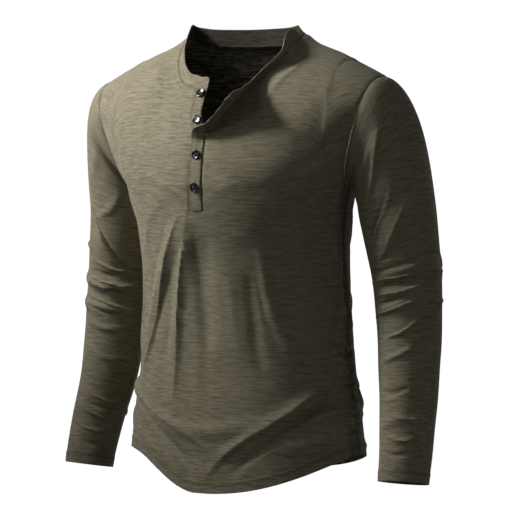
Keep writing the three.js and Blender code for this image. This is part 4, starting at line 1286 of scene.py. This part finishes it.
def sleeve_piece(name, arm, folds, creases):
    """A sleeve with its folds, the sunk armhole and underarm seams and the turned cuff. Returns it
    with its grid and normals."""
    s = bpy.context.scene.shirt
    cuff = s.hem_width / MM
    points = sleeve_grid(arm)
    count = len(points)
    sign = arm["mirror"]
    walk = walked(points, 1)
    from_foot = walk[:, -1:] - walk
    angle = np.arange(count) / count * ROUND
    underarm = np.abs(angle - np.pi)[:, None] * ARM_ROUND
    height = sleeve_height(folds, creases, arm, count, s.crease_depth) + turned_hem(from_foot, cuff)
    height = height + edge_dip(walk, *SEAM_DIP) + edge_dip(underarm, *UNDERARM_DIP)
    grid = points + grid_normals(points, closed=True) * sign * height[..., None]
    around = np.where(angle > np.pi, angle - ROUND, angle) * ARM_ROUND
    uv = np.stack(np.broadcast_arrays(around[:, None], -walk.mean(0)[None]), -1) * MM
    sewn = np.minimum(np.minimum(walk, underarm), twin_rows(from_foot, cuff))
    obj = new_object(
        name + "_cloth", grid.reshape(-1, 3) * MM,
        grid_faces(*grid.shape[:2], closed=True, flip=sign < 0),
        uv.reshape(-1, 2), {"seam_gap": sewn.ravel()}, cloth_materials(),
        girth=ROUND * ARM_ROUND * MM)
    solidify(obj, s.cloth_thick)
    return keep_piece(obj, "jersey", name), grid, grid_normals(grid, closed=True) * sign


# Stitches
def resample(path, normals, step):
    """Points at an even step along a path, with their normals and the path's direction there."""
    length = walked(path)
    at = np.arange(step / 2, length[-1], step)
    ahead = sampled(at + step / 4, length, path) - sampled(at - step / 4, length, path)
    return sampled(at, length, path), unit(sampled(at, length, normals)), unit(ahead)


def stitch_mesh(name, lines, thick=0.36, share=0.76, bow=0.28, step=None):
    """Stitches along lines: each is a spindle of four rings of five points, which dives into the
    cloth at both ends and stands a little proud in the middle."""
    step = step or bpy.context.scene.shirt.stitch_length / MM
    rings = np.array([-0.5, -0.22, 0.22, 0.5])
    radius = thick / 2 * np.array([0.45, 1, 1, 0.45])
    lift = bow * np.array([-0.9, 0.75, 0.75, -0.9])
    turn = (np.arange(5) / 5 * ROUND)[None, None, :, None]
    quads = np.array([
        [a + k, b + k, b + k + 5, a + k + 5]
        for k in (0, 5, 10)
        for a, b in ((0, 1), (1, 2), (2, 3), (3, 4), (4, 0))
    ])[:, ::-1]
    caps = np.array([[0, 1, 2, 3, 4], [19, 18, 17, 16, 15]])
    vertices, faces, offset = [], [], 0
    for path, normals in lines:
        p, n, t = resample(path, normals, step)
        side = unit(np.cross(t, n))[:, None, None]
        centre = p[:, None] + t[:, None] * (rings * step * share)[None, :, None]
        centre = centre + n[:, None] * lift[None, :, None]
        ring = side * np.cos(turn) + n[:, None, None] * np.sin(turn)
        vertices.append((centre[:, :, None] + ring * radius[None, :, None, None]).reshape(-1, 3))
        starts = offset + np.arange(len(p)) * 20
        faces.extend((quads[None] + starts[:, None, None]).reshape(-1, 4).tolist())
        faces.extend((caps[:, None] + starts[None, :, None]).reshape(-1, 5).tolist())
        offset += len(p) * 20
    obj = new_object(name, np.concatenate(vertices) * MM, faces, material=[thread_material()])
    keep_piece(obj, "jersey")


def closed_line(line):
    """A line's points and normals, with the first again at the end."""
    return tuple(np.concatenate([part, part[:1]]) for part in line)


# Operators
class ShirtOperator:
    """What the shirt's operators share."""

    bl_options = {"REGISTER", "UNDO"}


class SHIRT_OT_body(ShirtOperator, bpy.types.Operator):
    """Front and back panels with their folds, seams and twin-stitched hem."""

    bl_idname = "shirt.body"
    bl_label = "Front and back"

    def execute(self, context):
        hem = context.scene.shirt.hem_width / MM
        lines, seams = [], []
        for side, name, cut, area in (
            (-1, "front", (0.5, 0.75), 0.292),
            (1, "back", (0.5, 0.73), 0.281),
        ):
            obj, grid, normals = body_piece(side, name)
            lines += [line_across(grid, normals, distance) for distance in (hem, hem - TWIN_GAP)]
            count = len(grid)
            if side < 0:
                left = count - PANEL
                parts = [slice(PANEL - NECK_COLUMNS, PANEL), slice(left, left + NECK_COLUMNS)]
            else:
                parts = [slice(count // 2 - NECK_COLUMNS + 1, count // 2 + NECK_COLUMNS)]
            p, n = line_across(grid, normals, -NECK_SEAM)
            seams += [(p[part], n[part]) for part in parts]
        stitch_mesh("hem_stitching", lines)
        stitch_mesh("neck_stitching", seams)
        return {"FINISHED"}


class SHIRT_OT_sleeves(ShirtOperator, bpy.types.Operator):
    """Set-in sleeves with elbow folds and twin-stitched cuffs."""

    bl_idname = "shirt.sleeves"
    bl_label = "Sleeves"

    def execute(self, context):
        cuff = context.scene.shirt.hem_width / MM
        lines = []
        for name, arm, folds, creases in (
            ("sleeve_left", LEFT_ARM, LEFT_FOLDS, LEFT_CREASES),
            ("sleeve_right", RIGHT_ARM, RIGHT_FOLDS, RIGHT_CREASES),
        ):
            obj, grid, normals = sleeve_piece(name, arm, folds, creases)
            for distance in (-cuff, TWIN_GAP - cuff):
                lines.append(closed_line(line_across(grid, normals, distance)))
        stitch_mesh("cuff_stitching", lines)
        return {"FINISHED"}


class SHIRT_OT_neckband(ShirtOperator, bpy.types.Operator):
    """The stand neckband: two layers of cloth with a folded top edge."""

    bl_idname = "shirt.neckband"
    bl_label = "Neckband"

    def execute(self, context):
        cloth = BAND_CLOTH
        middle = band_grid()
        normals = grid_normals(middle) * -1
        rows = middle.shape[1]
        crest = cloth["thick"] / 2
        turn = np.linspace(0, np.pi, 7)[1:-1]
        upward = unit(middle[:, -1] - middle[:, -2])
        downward = unit(middle[:, 0] - middle[:, 1])[:, None]
        swell = np.sin(np.linspace(0, np.pi, rows)) * cloth["swell"]
        outer = middle + normals * swell[None, :, None]
        top = middle[:, -1:] - normals[:, -1:] * crest * (1 - np.cos(turn))[None, :, None]
        top = top + upward[:, None] * (crest * np.sin(turn))[None, :, None]
        inner = (middle - normals * cloth["thick"])[:, ::-1]
        tuck = middle[:, :1] + downward * cloth["tuck"] - normals[:, :1] * cloth["tuck_in"]
        under = inner[:, -1:] + downward * cloth["under"]
        grid = np.concatenate([tuck, outer, top, inner, under], axis=1)
        walk = walked(grid, 1)
        seam = np.minimum(np.abs(walk - walk[:, 1:2]), walk[:, -1:] - walk)
        uv = np.stack(np.broadcast_arrays(walked(middle[:, 0])[:, None], walk), -1) * MM
        count, size = grid.shape[:2]
        faces = grid_faces(count, size, flip=True).tolist()
        first_inside = rows + len(turn)
        is_inside = [quad[0] % size >= first_inside and quad[2] % size >= first_inside for quad in faces]
        starts = range(0, (count - 1) * size, size)
        faces += [[k, k + size - 1, k + 2 * size - 1, k + size] for k in starts]
        faces += [list(range(size)), list(range(count * size - 1, (count - 1) * size - 1, -1))]
        is_inside += [True] * (count - 1) + [False, False]
        # The band's inside faces take a near-black copy of the jersey: painted shade for the inside of
        # the neck.
        obj = new_object(
            "neckband_cloth", grid.reshape(-1, 3) * MM, faces, uv.reshape(-1, 2),
            {"seam_gap": seam.ravel()}, cloth_materials("band_inside", 0.18, 0.24, 0.4))
        obj.data.polygons.foreach_set("material_index", np.array(is_inside, np.int32))
        obj.data.set_sharp_from_angle(angle=CLOTH_CRISP)
        keep_piece(obj, "jersey", "neckband")
        outward = grid_normals(outer) * -1
        stitch_mesh("band_stitching", [line_across(outer, outward, distance) for distance in BAND_ROWS])
        return {"FINISHED"}


def strip_piece(name):
    """A placket strip on the slot's edge, turned out or drawn aside with its side of the opening: a
    doubled cloth with a raised middle and pressed edges. Returns it with its grid and normals."""
    is_over = name == "placket_over"
    left = PLACKET["half"] - STRIP["inset"] if is_over else PLACKET["free"]
    flat = strip(slot_edge(), left, STRIP["inset"] - PLACKET["half"], STRIP["columns"])
    points = turn_out(flat) if is_over else draw_aside(flat)
    normals = grid_normals(points)
    raised = PLACKET["raised"] if is_over else -PLACKET["under"] * closed_share(flat[..., 2])
    pillow = STRIP["pillow"] * (1 - np.linspace(-1, 1, STRIP["columns"])[:, None] ** 4)
    grid = points - normals * (raised + pillow + 0 * flat[..., 2])[..., None]
    walk = np.linalg.norm(points - points[:1], axis=-1)
    edge = np.minimum(walk, walk[-1:] - walk)
    sewn = np.minimum(np.abs(edge - STRIP["stitch_in"]) + 0.4, edge + 0.2)
    if is_over:
        for _, z, _ in BUTTONS:
            beyond = np.maximum(0, np.abs(flat[..., 2] - z) - HOLE["half"])
            sewn = np.minimum(sewn, np.hypot(np.abs(walk - walk[-1:] / 2), beyond) + 0.1)
    uv = np.stack([walk, walked(points, 1)], -1) * MM
    obj = new_object(
        name + "_cloth", grid.reshape(-1, 3) * MM, grid_faces(*grid.shape[:2], flip=True),
        uv.reshape(-1, 2), {"seam_gap": sewn.ravel()}, cloth_materials())
    solidify(obj, STRIP["wall"] * MM)
    return keep_piece(obj, "jersey", name), grid, -normals


class SHIRT_OT_placket(ShirtOperator, bpy.types.Operator):
    """The over strip with its buttonholes, turned out above the third button, and the under strip."""

    bl_idname = "shirt.placket"
    bl_label = "Placket"

    def execute(self, context):
        lines = []
        for name in ("placket_over", "placket_under"):
            obj, grid, normals = strip_piece(name)
            lines += [(grid[column], normals[column]) for column in (1, STRIP["columns"] - 2)]
            if name == "placket_over":
                lines += [(grid[1:-1, row], normals[1:-1, row]) for row in STRIP["foot_rows"]]
        stitch_mesh("placket_stitching", lines)
        stitch_mesh("buttonholes", buttonhole_lines(), thick=0.42, share=1.0, bow=0.2, step=HOLE["side"])
        return {"FINISHED"}


def buttonhole_lines():
    """Short threads square to each buttonhole's slit, close together down both of its sides."""
    middle, flat, normals = strip_points("over")
    knots = flat[:, 2]
    reach = np.array([[HOLE["gap"]], [HOLE["gap"] + HOLE["side"] + 0.01]])
    lines = []
    for _, centre, _ in BUTTONS:
        for z in np.arange(centre - HOLE["half"], centre + HOLE["half"], HOLE["pitch"]):
            p = sampled(z, knots, middle)
            n = unit(sampled(z, knots, normals))
            across = unit(np.cross(sampled(z + 1, knots, middle) - p, n))
            p = p + n * (PLACKET["raised"] + 0.4)
            lines += [(p + across * sign * reach, np.array([n, n])) for sign in (-1, 1)]
    return lines


def strip_points(strip_name):
    """A strip's middle line as it lies, the same line before it moved, and its outward normals."""
    flat = strip(slot_edge(), PLACKET["half"], -PLACKET["half"], 3)
    points = turn_out(flat) if strip_name == "over" else draw_aside(flat)
    toward = points[0] - points[-1]
    ahead = np.gradient(points[1], axis=0)
    return points[1], flat[1], unit(np.cross(toward, ahead))


class SHIRT_OT_buttons(ShirtOperator, bpy.types.Operator):
    """Four-hole glossy buttons with thread in their holes."""

    bl_idname = "shirt.buttons"
    bl_label = "Buttons"

    def execute(self, context):
        for name, z, strip_name in BUTTONS:
            middle, _, normals = strip_points(strip_name)
            level = PLACKET["raised"] if strip_name == "over" else -PLACKET["under"] * closed_share(z)
            spot = sampled(z, middle[:, 2], middle)
            out = unit(sampled(z, middle[:, 2], normals))
            add_button(name, spot + out * (level + BUTTON["lift"]), out)
        return {"FINISHED"}


def button_axes(out):
    """Two directions across a button whose face looks along out: one level, one up its strip."""
    level = unit(np.cross([0, 0, 1.0], out))
    return level, np.cross(out, level)


def rings_round(centres, across, up, radius, sides):
    """Rings of points about each centre, in the plane of its two directions, as columns of a grid."""
    turn = (np.arange(sides) / sides * ROUND)[:, None, None]
    return centres[None] + radius * (across[None] * np.cos(turn) + up[None] * np.sin(turn))


def lathe(profile, sides):
    """A solid open at its poles: a profile of radius and height turned about the height's axis."""
    radius, height = np.array(profile, float).T
    across, up = np.array([[1.0, 0, 0]]), np.array([[0, 1.0, 0]])
    grid = rings_round(point(0, 0, height), across, up, radius[None, :, None], sides)
    return grid.reshape(-1, 3), grid_faces(sides, len(profile), closed=True)


def turned_solid(name, profile, sides, place):
    """A closed lathe solid as an object, with its points taken to their place by a function."""
    points, faces = lathe(profile, sides)
    obj = new_object(name, place(points) * MM, faces, material=[button_material()])
    weld(obj)
    cap_poles(obj)
    return obj


def button_profile():
    """Radius and height round half a button's section: flat back, rounded side, rim and dished face.
    Also returns the height of the dish."""
    b = BUTTON
    curve = b["rim"] / 2
    edge, crown = b["radius"] - curve, b["thick"] - curve
    dish = b["thick"] - b["dish"]
    low = [(edge + curve * np.cos(a), curve + curve * np.sin(a)) for a in np.linspace(-QUARTER, 0, 4)]
    high = [(edge + curve * np.cos(a), crown + curve * np.sin(a)) for a in np.linspace(0, QUARTER, 4)]
    over = [(edge - curve * np.sin(a), crown + curve * np.cos(a)) for a in np.linspace(0.4, QUARTER, 4)]
    bowl = [
        (b["radius"] - b["rim"] - b["slope"] * share, mix(over[-1][1], dish, smooth(share)))
        for share in (0.3, 0.7, 1.0)
    ]
    middle = [(b["middle"], dish - b["sag"] / 2), (POLE, dish - b["sag"])]
    return [(POLE, 0), (b["back"], 0)] + low + high + over + bowl + middle, dish


def add_button(name, spot, out):
    """A button at a spot, facing out: a lathe solid with four drilled holes, and the two bars of
    thread that cross its dish from hole to hole."""
    b = BUTTON
    level, up = button_axes(out)
    axes = np.stack([level, up, out])
    profile, dish = button_profile()
    obj = turned_solid(name + "_body", profile, 48, lambda points: points @ axes + spot)
    wall = [
        (DRILL_POLE, DRILL["foot"]), (b["hole"], DRILL["foot"]),
        (b["hole"], DRILL["head"]), (DRILL_POLE, DRILL["head"]),
    ]
    drills = []
    for k in range(4):
        angle = QUARTER * (k + 0.5)
        at = b["hole_at"] * np.array([np.cos(angle), np.sin(angle), 0])
        drills.append(turned_solid("drill", wall, 20, lambda points: (points + at) @ axes + spot))
    for drill in drills:
        cut = obj.modifiers.new("Hole", "BOOLEAN")
        cut.operation = "DIFFERENCE"
        cut.solver = "EXACT"
        cut.object = drill
    done = apply_modifiers(obj)
    done.shade_smooth()
    done.set_sharp_from_angle(angle=BUTTON_CRISP)
    for drill in drills:
        bpy.data.objects.remove(drill)
    keep_piece(obj, "button", name)
    x = b["hole_at"] * np.cos(QUARTER / 2)
    span = np.linspace(-1, 1, 9)
    bar = dish + THREAD_BAR["over"] - THREAD_BAR["dive"] * np.abs(span) ** 6
    bars = [
        tube(point(span * x * 1.04, sign * x, bar) @ axes + spot, THREAD_BAR["thick"], 8)
        for sign in (-1, 1)
    ]
    vertices, faces = join_parts(bars)
    thread = new_object(name + "_thread", vertices * MM, faces, material=[thread_material()])
    keep_piece(thread, "jersey")


def cap_poles(obj):
    """Closes the small rings that a lathe leaves at its poles."""
    bm = bmesh.new()
    bm.from_mesh(obj.data)
    bmesh.ops.holes_fill(bm, edges=bm.edges, sides=0)
    bmesh.ops.recalc_face_normals(bm, faces=bm.faces)
    bm.to_mesh(obj.data)
    bm.free()


def tube(path, radius, sides):
    """A round tube along a path, its rings square to the path and its ends closed."""
    ahead = unit(np.gradient(path, axis=0))
    side = unit(np.cross(ahead, [0.3, -0.2, 0.93]))
    grid = rings_round(path, side, np.cross(side, ahead), radius, sides)
    rows = len(path)
    faces = grid_faces(sides, rows, closed=True).tolist()
    faces.append(list(range(0, sides * rows, rows))[::-1])
    faces.append(list(range(rows - 1, sides * rows, rows)))
    return grid.reshape(-1, 3), faces


def join_parts(parts):
    """Several meshes' points and faces as those of one mesh."""
    vertices, faces, offset = [], [], 0
    for v, f in parts:
        vertices.append(v)
        faces.extend([[k + offset for k in face] for face in f])
        offset += len(v)
    return np.concatenate(vertices), faces


# Stage
CAMERA = dict(azimuth=32, elevation=2.5, distance=4.0, aim=(0, 0, -0.33))
LENS = dict(lens=188.4, sensor_width=36, shift_x=0.0346, shift_y=0.0038, clip_end=100)
FLOOR = dict(z=-1.45, half=30)
SURROUND = dict(light=0.07, seen=0.96)

# Lights: name, aim, direction, distance, size, power and spread
LIGHTS = [
    ("key", (-0.12, -0.08, -0.08), (-0.68, -0.47, 0.57), 1.3, 0.35, 2.1, 45),
    ("left", (0, 0, -0.25), (-0.96, -0.26, 0.09), 3.0, 0.7, 7.6, 180),
    ("left_front", (0, 0, -0.25), (-0.66, -0.56, 0.5), 3.0, 0.7, 5.5, 180),
    ("front", (0, 0, -0.25), (-0.37, -0.79, 0.5), 3.0, 0.7, 5.0, 180),
    ("right", (0, 0, -0.25), (0.94, -0.34, 0.09), 3.0, 0.7, 3.4, 180),
    ("back", (0, 0, -0.3), (0.1, 0.95, 0.2), 3.0, 1.2, 9.0, 180),
]


def directed(obj, target, direction, distance):
    """Puts a light or camera at a distance from its target, looking at it."""
    target = Vector(target)
    place = target + Vector(direction).normalized() * distance
    obj.location = place
    obj.rotation_euler = (target - place).to_track_quat("-Z", "Y").to_euler()
    bpy.context.collection.objects.link(obj)


def area_light(name, target, direction, distance, size, energy, spread):
    """A round area light aimed at a target, with the angle that its light spreads over."""
    data = bpy.data.lights.new(name, "AREA")
    data.shape = "DISK"
    data.size = size
    data.energy = energy
    data.spread = np.radians(spread)
    directed(bpy.data.objects.new(name, data), target, direction, distance)


class SHIRT_OT_stage(ShirtOperator, bpy.types.Operator):
    """A pale floor, a white surround, soft studio lights and the camera."""

    bl_idname = "shirt.stage"
    bl_label = "Stage"

    def execute(self, context):
        scene = context.scene
        scene.view_settings.view_transform = "Standard"
        world = bpy.data.worlds.new("Surround")
        world.use_nodes = True
        tree = world.node_tree
        background = tree.nodes["Background"]
        background.inputs["Color"].default_value = (1, 1, 1, 1)
        path = add_node(tree, "ShaderNodeLightPath")
        seen = maths(tree, "MULTIPLY", path.outputs["Is Camera Ray"], SURROUND["seen"])
        level = maths(tree, "ADD", seen, SURROUND["light"])
        tree.links.new(level, background.inputs["Strength"])
        scene.world = world

        x, y = FLOOR["half"] * np.array([[-1, 1, 1, -1], [-1, -1, 1, 1]])
        floor = new_object(
            "floor", point(x, y, FLOOR["z"]), np.array([[0, 1, 2, 3]]),
            material=[floor_material()], smooth_faces=False)
        for row in LIGHTS:
            area_light(*row)

        data = bpy.data.cameras.new("camera")
        for setting, value in LENS.items():
            setattr(data, setting, value)
        az, el = np.radians(CAMERA["azimuth"]), np.radians(CAMERA["elevation"])
        back = (np.sin(az) * np.cos(el), -np.cos(az) * np.cos(el), np.sin(el))
        camera = bpy.data.objects.new("camera", data)
        directed(camera, CAMERA["aim"], back, CAMERA["distance"])
        scene.camera = camera
        return {"FINISHED"}


def floor_material():
    """Pale matt floor that the camera sees as white."""
    material, tree, shader = new_material("pale_floor")
    set_inputs(shader, {"Base Color": (0.5, 0.5, 0.5, 1), "Roughness": 0.9})
    glow = add_node(tree, "ShaderNodeEmission")
    glow.inputs["Strength"].default_value = 1.03
    path = add_node(tree, "ShaderNodeLightPath")
    choose = add_node(tree, "ShaderNodeMixShader")
    tree.links.new(path.outputs["Is Camera Ray"], choose.inputs[0])
    tree.links.new(shader.outputs[0], choose.inputs[1])
    tree.links.new(glow.outputs[0], choose.inputs[2])
    tree.links.new(choose.outputs[0], tree.nodes["Material Output"].inputs["Surface"])
    return material


class SHIRT_PT_panel(bpy.types.Panel):
    """Lists the shirt's pieces and settings in the sidebar."""

    bl_idname = "SHIRT_PT_panel"
    bl_label = "Henley Shirt"
    bl_space_type = "VIEW_3D"
    bl_region_type = "UI"
    bl_category = "Henley Shirt"

    def draw(self, context):
        for name in ShirtSettings.__annotations__:
            self.layout.prop(context.scene.shirt, name)
        for operator in OPERATORS:
            self.layout.operator(operator.bl_idname)


OPERATORS = (
    SHIRT_OT_body,
    SHIRT_OT_sleeves,
    SHIRT_OT_neckband,
    SHIRT_OT_placket,
    SHIRT_OT_buttons,
    SHIRT_OT_stage,
)
CLASSES = (ShirtSettings, *OPERATORS, SHIRT_PT_panel)


def register():
    """Registers the shirt's classes and puts its settings on the scene."""
    for one in CLASSES:
        bpy.utils.register_class(one)
    bpy.types.Scene.shirt = bpy.props.PointerProperty(type=ShirtSettings)


def unregister():
    """Takes the settings and the classes away again."""
    del bpy.types.Scene.shirt
    for one in reversed(CLASSES):
        bpy.utils.unregister_class(one)


def main():
    """Makes every piece and the stage."""
    register()
    bpy.ops.shirt.body()
    bpy.ops.shirt.sleeves()
    bpy.ops.shirt.neckband()
    bpy.ops.shirt.placket()
    bpy.ops.shirt.buttons()
    bpy.ops.shirt.stage()


if __name__ == "__main__":
    main()
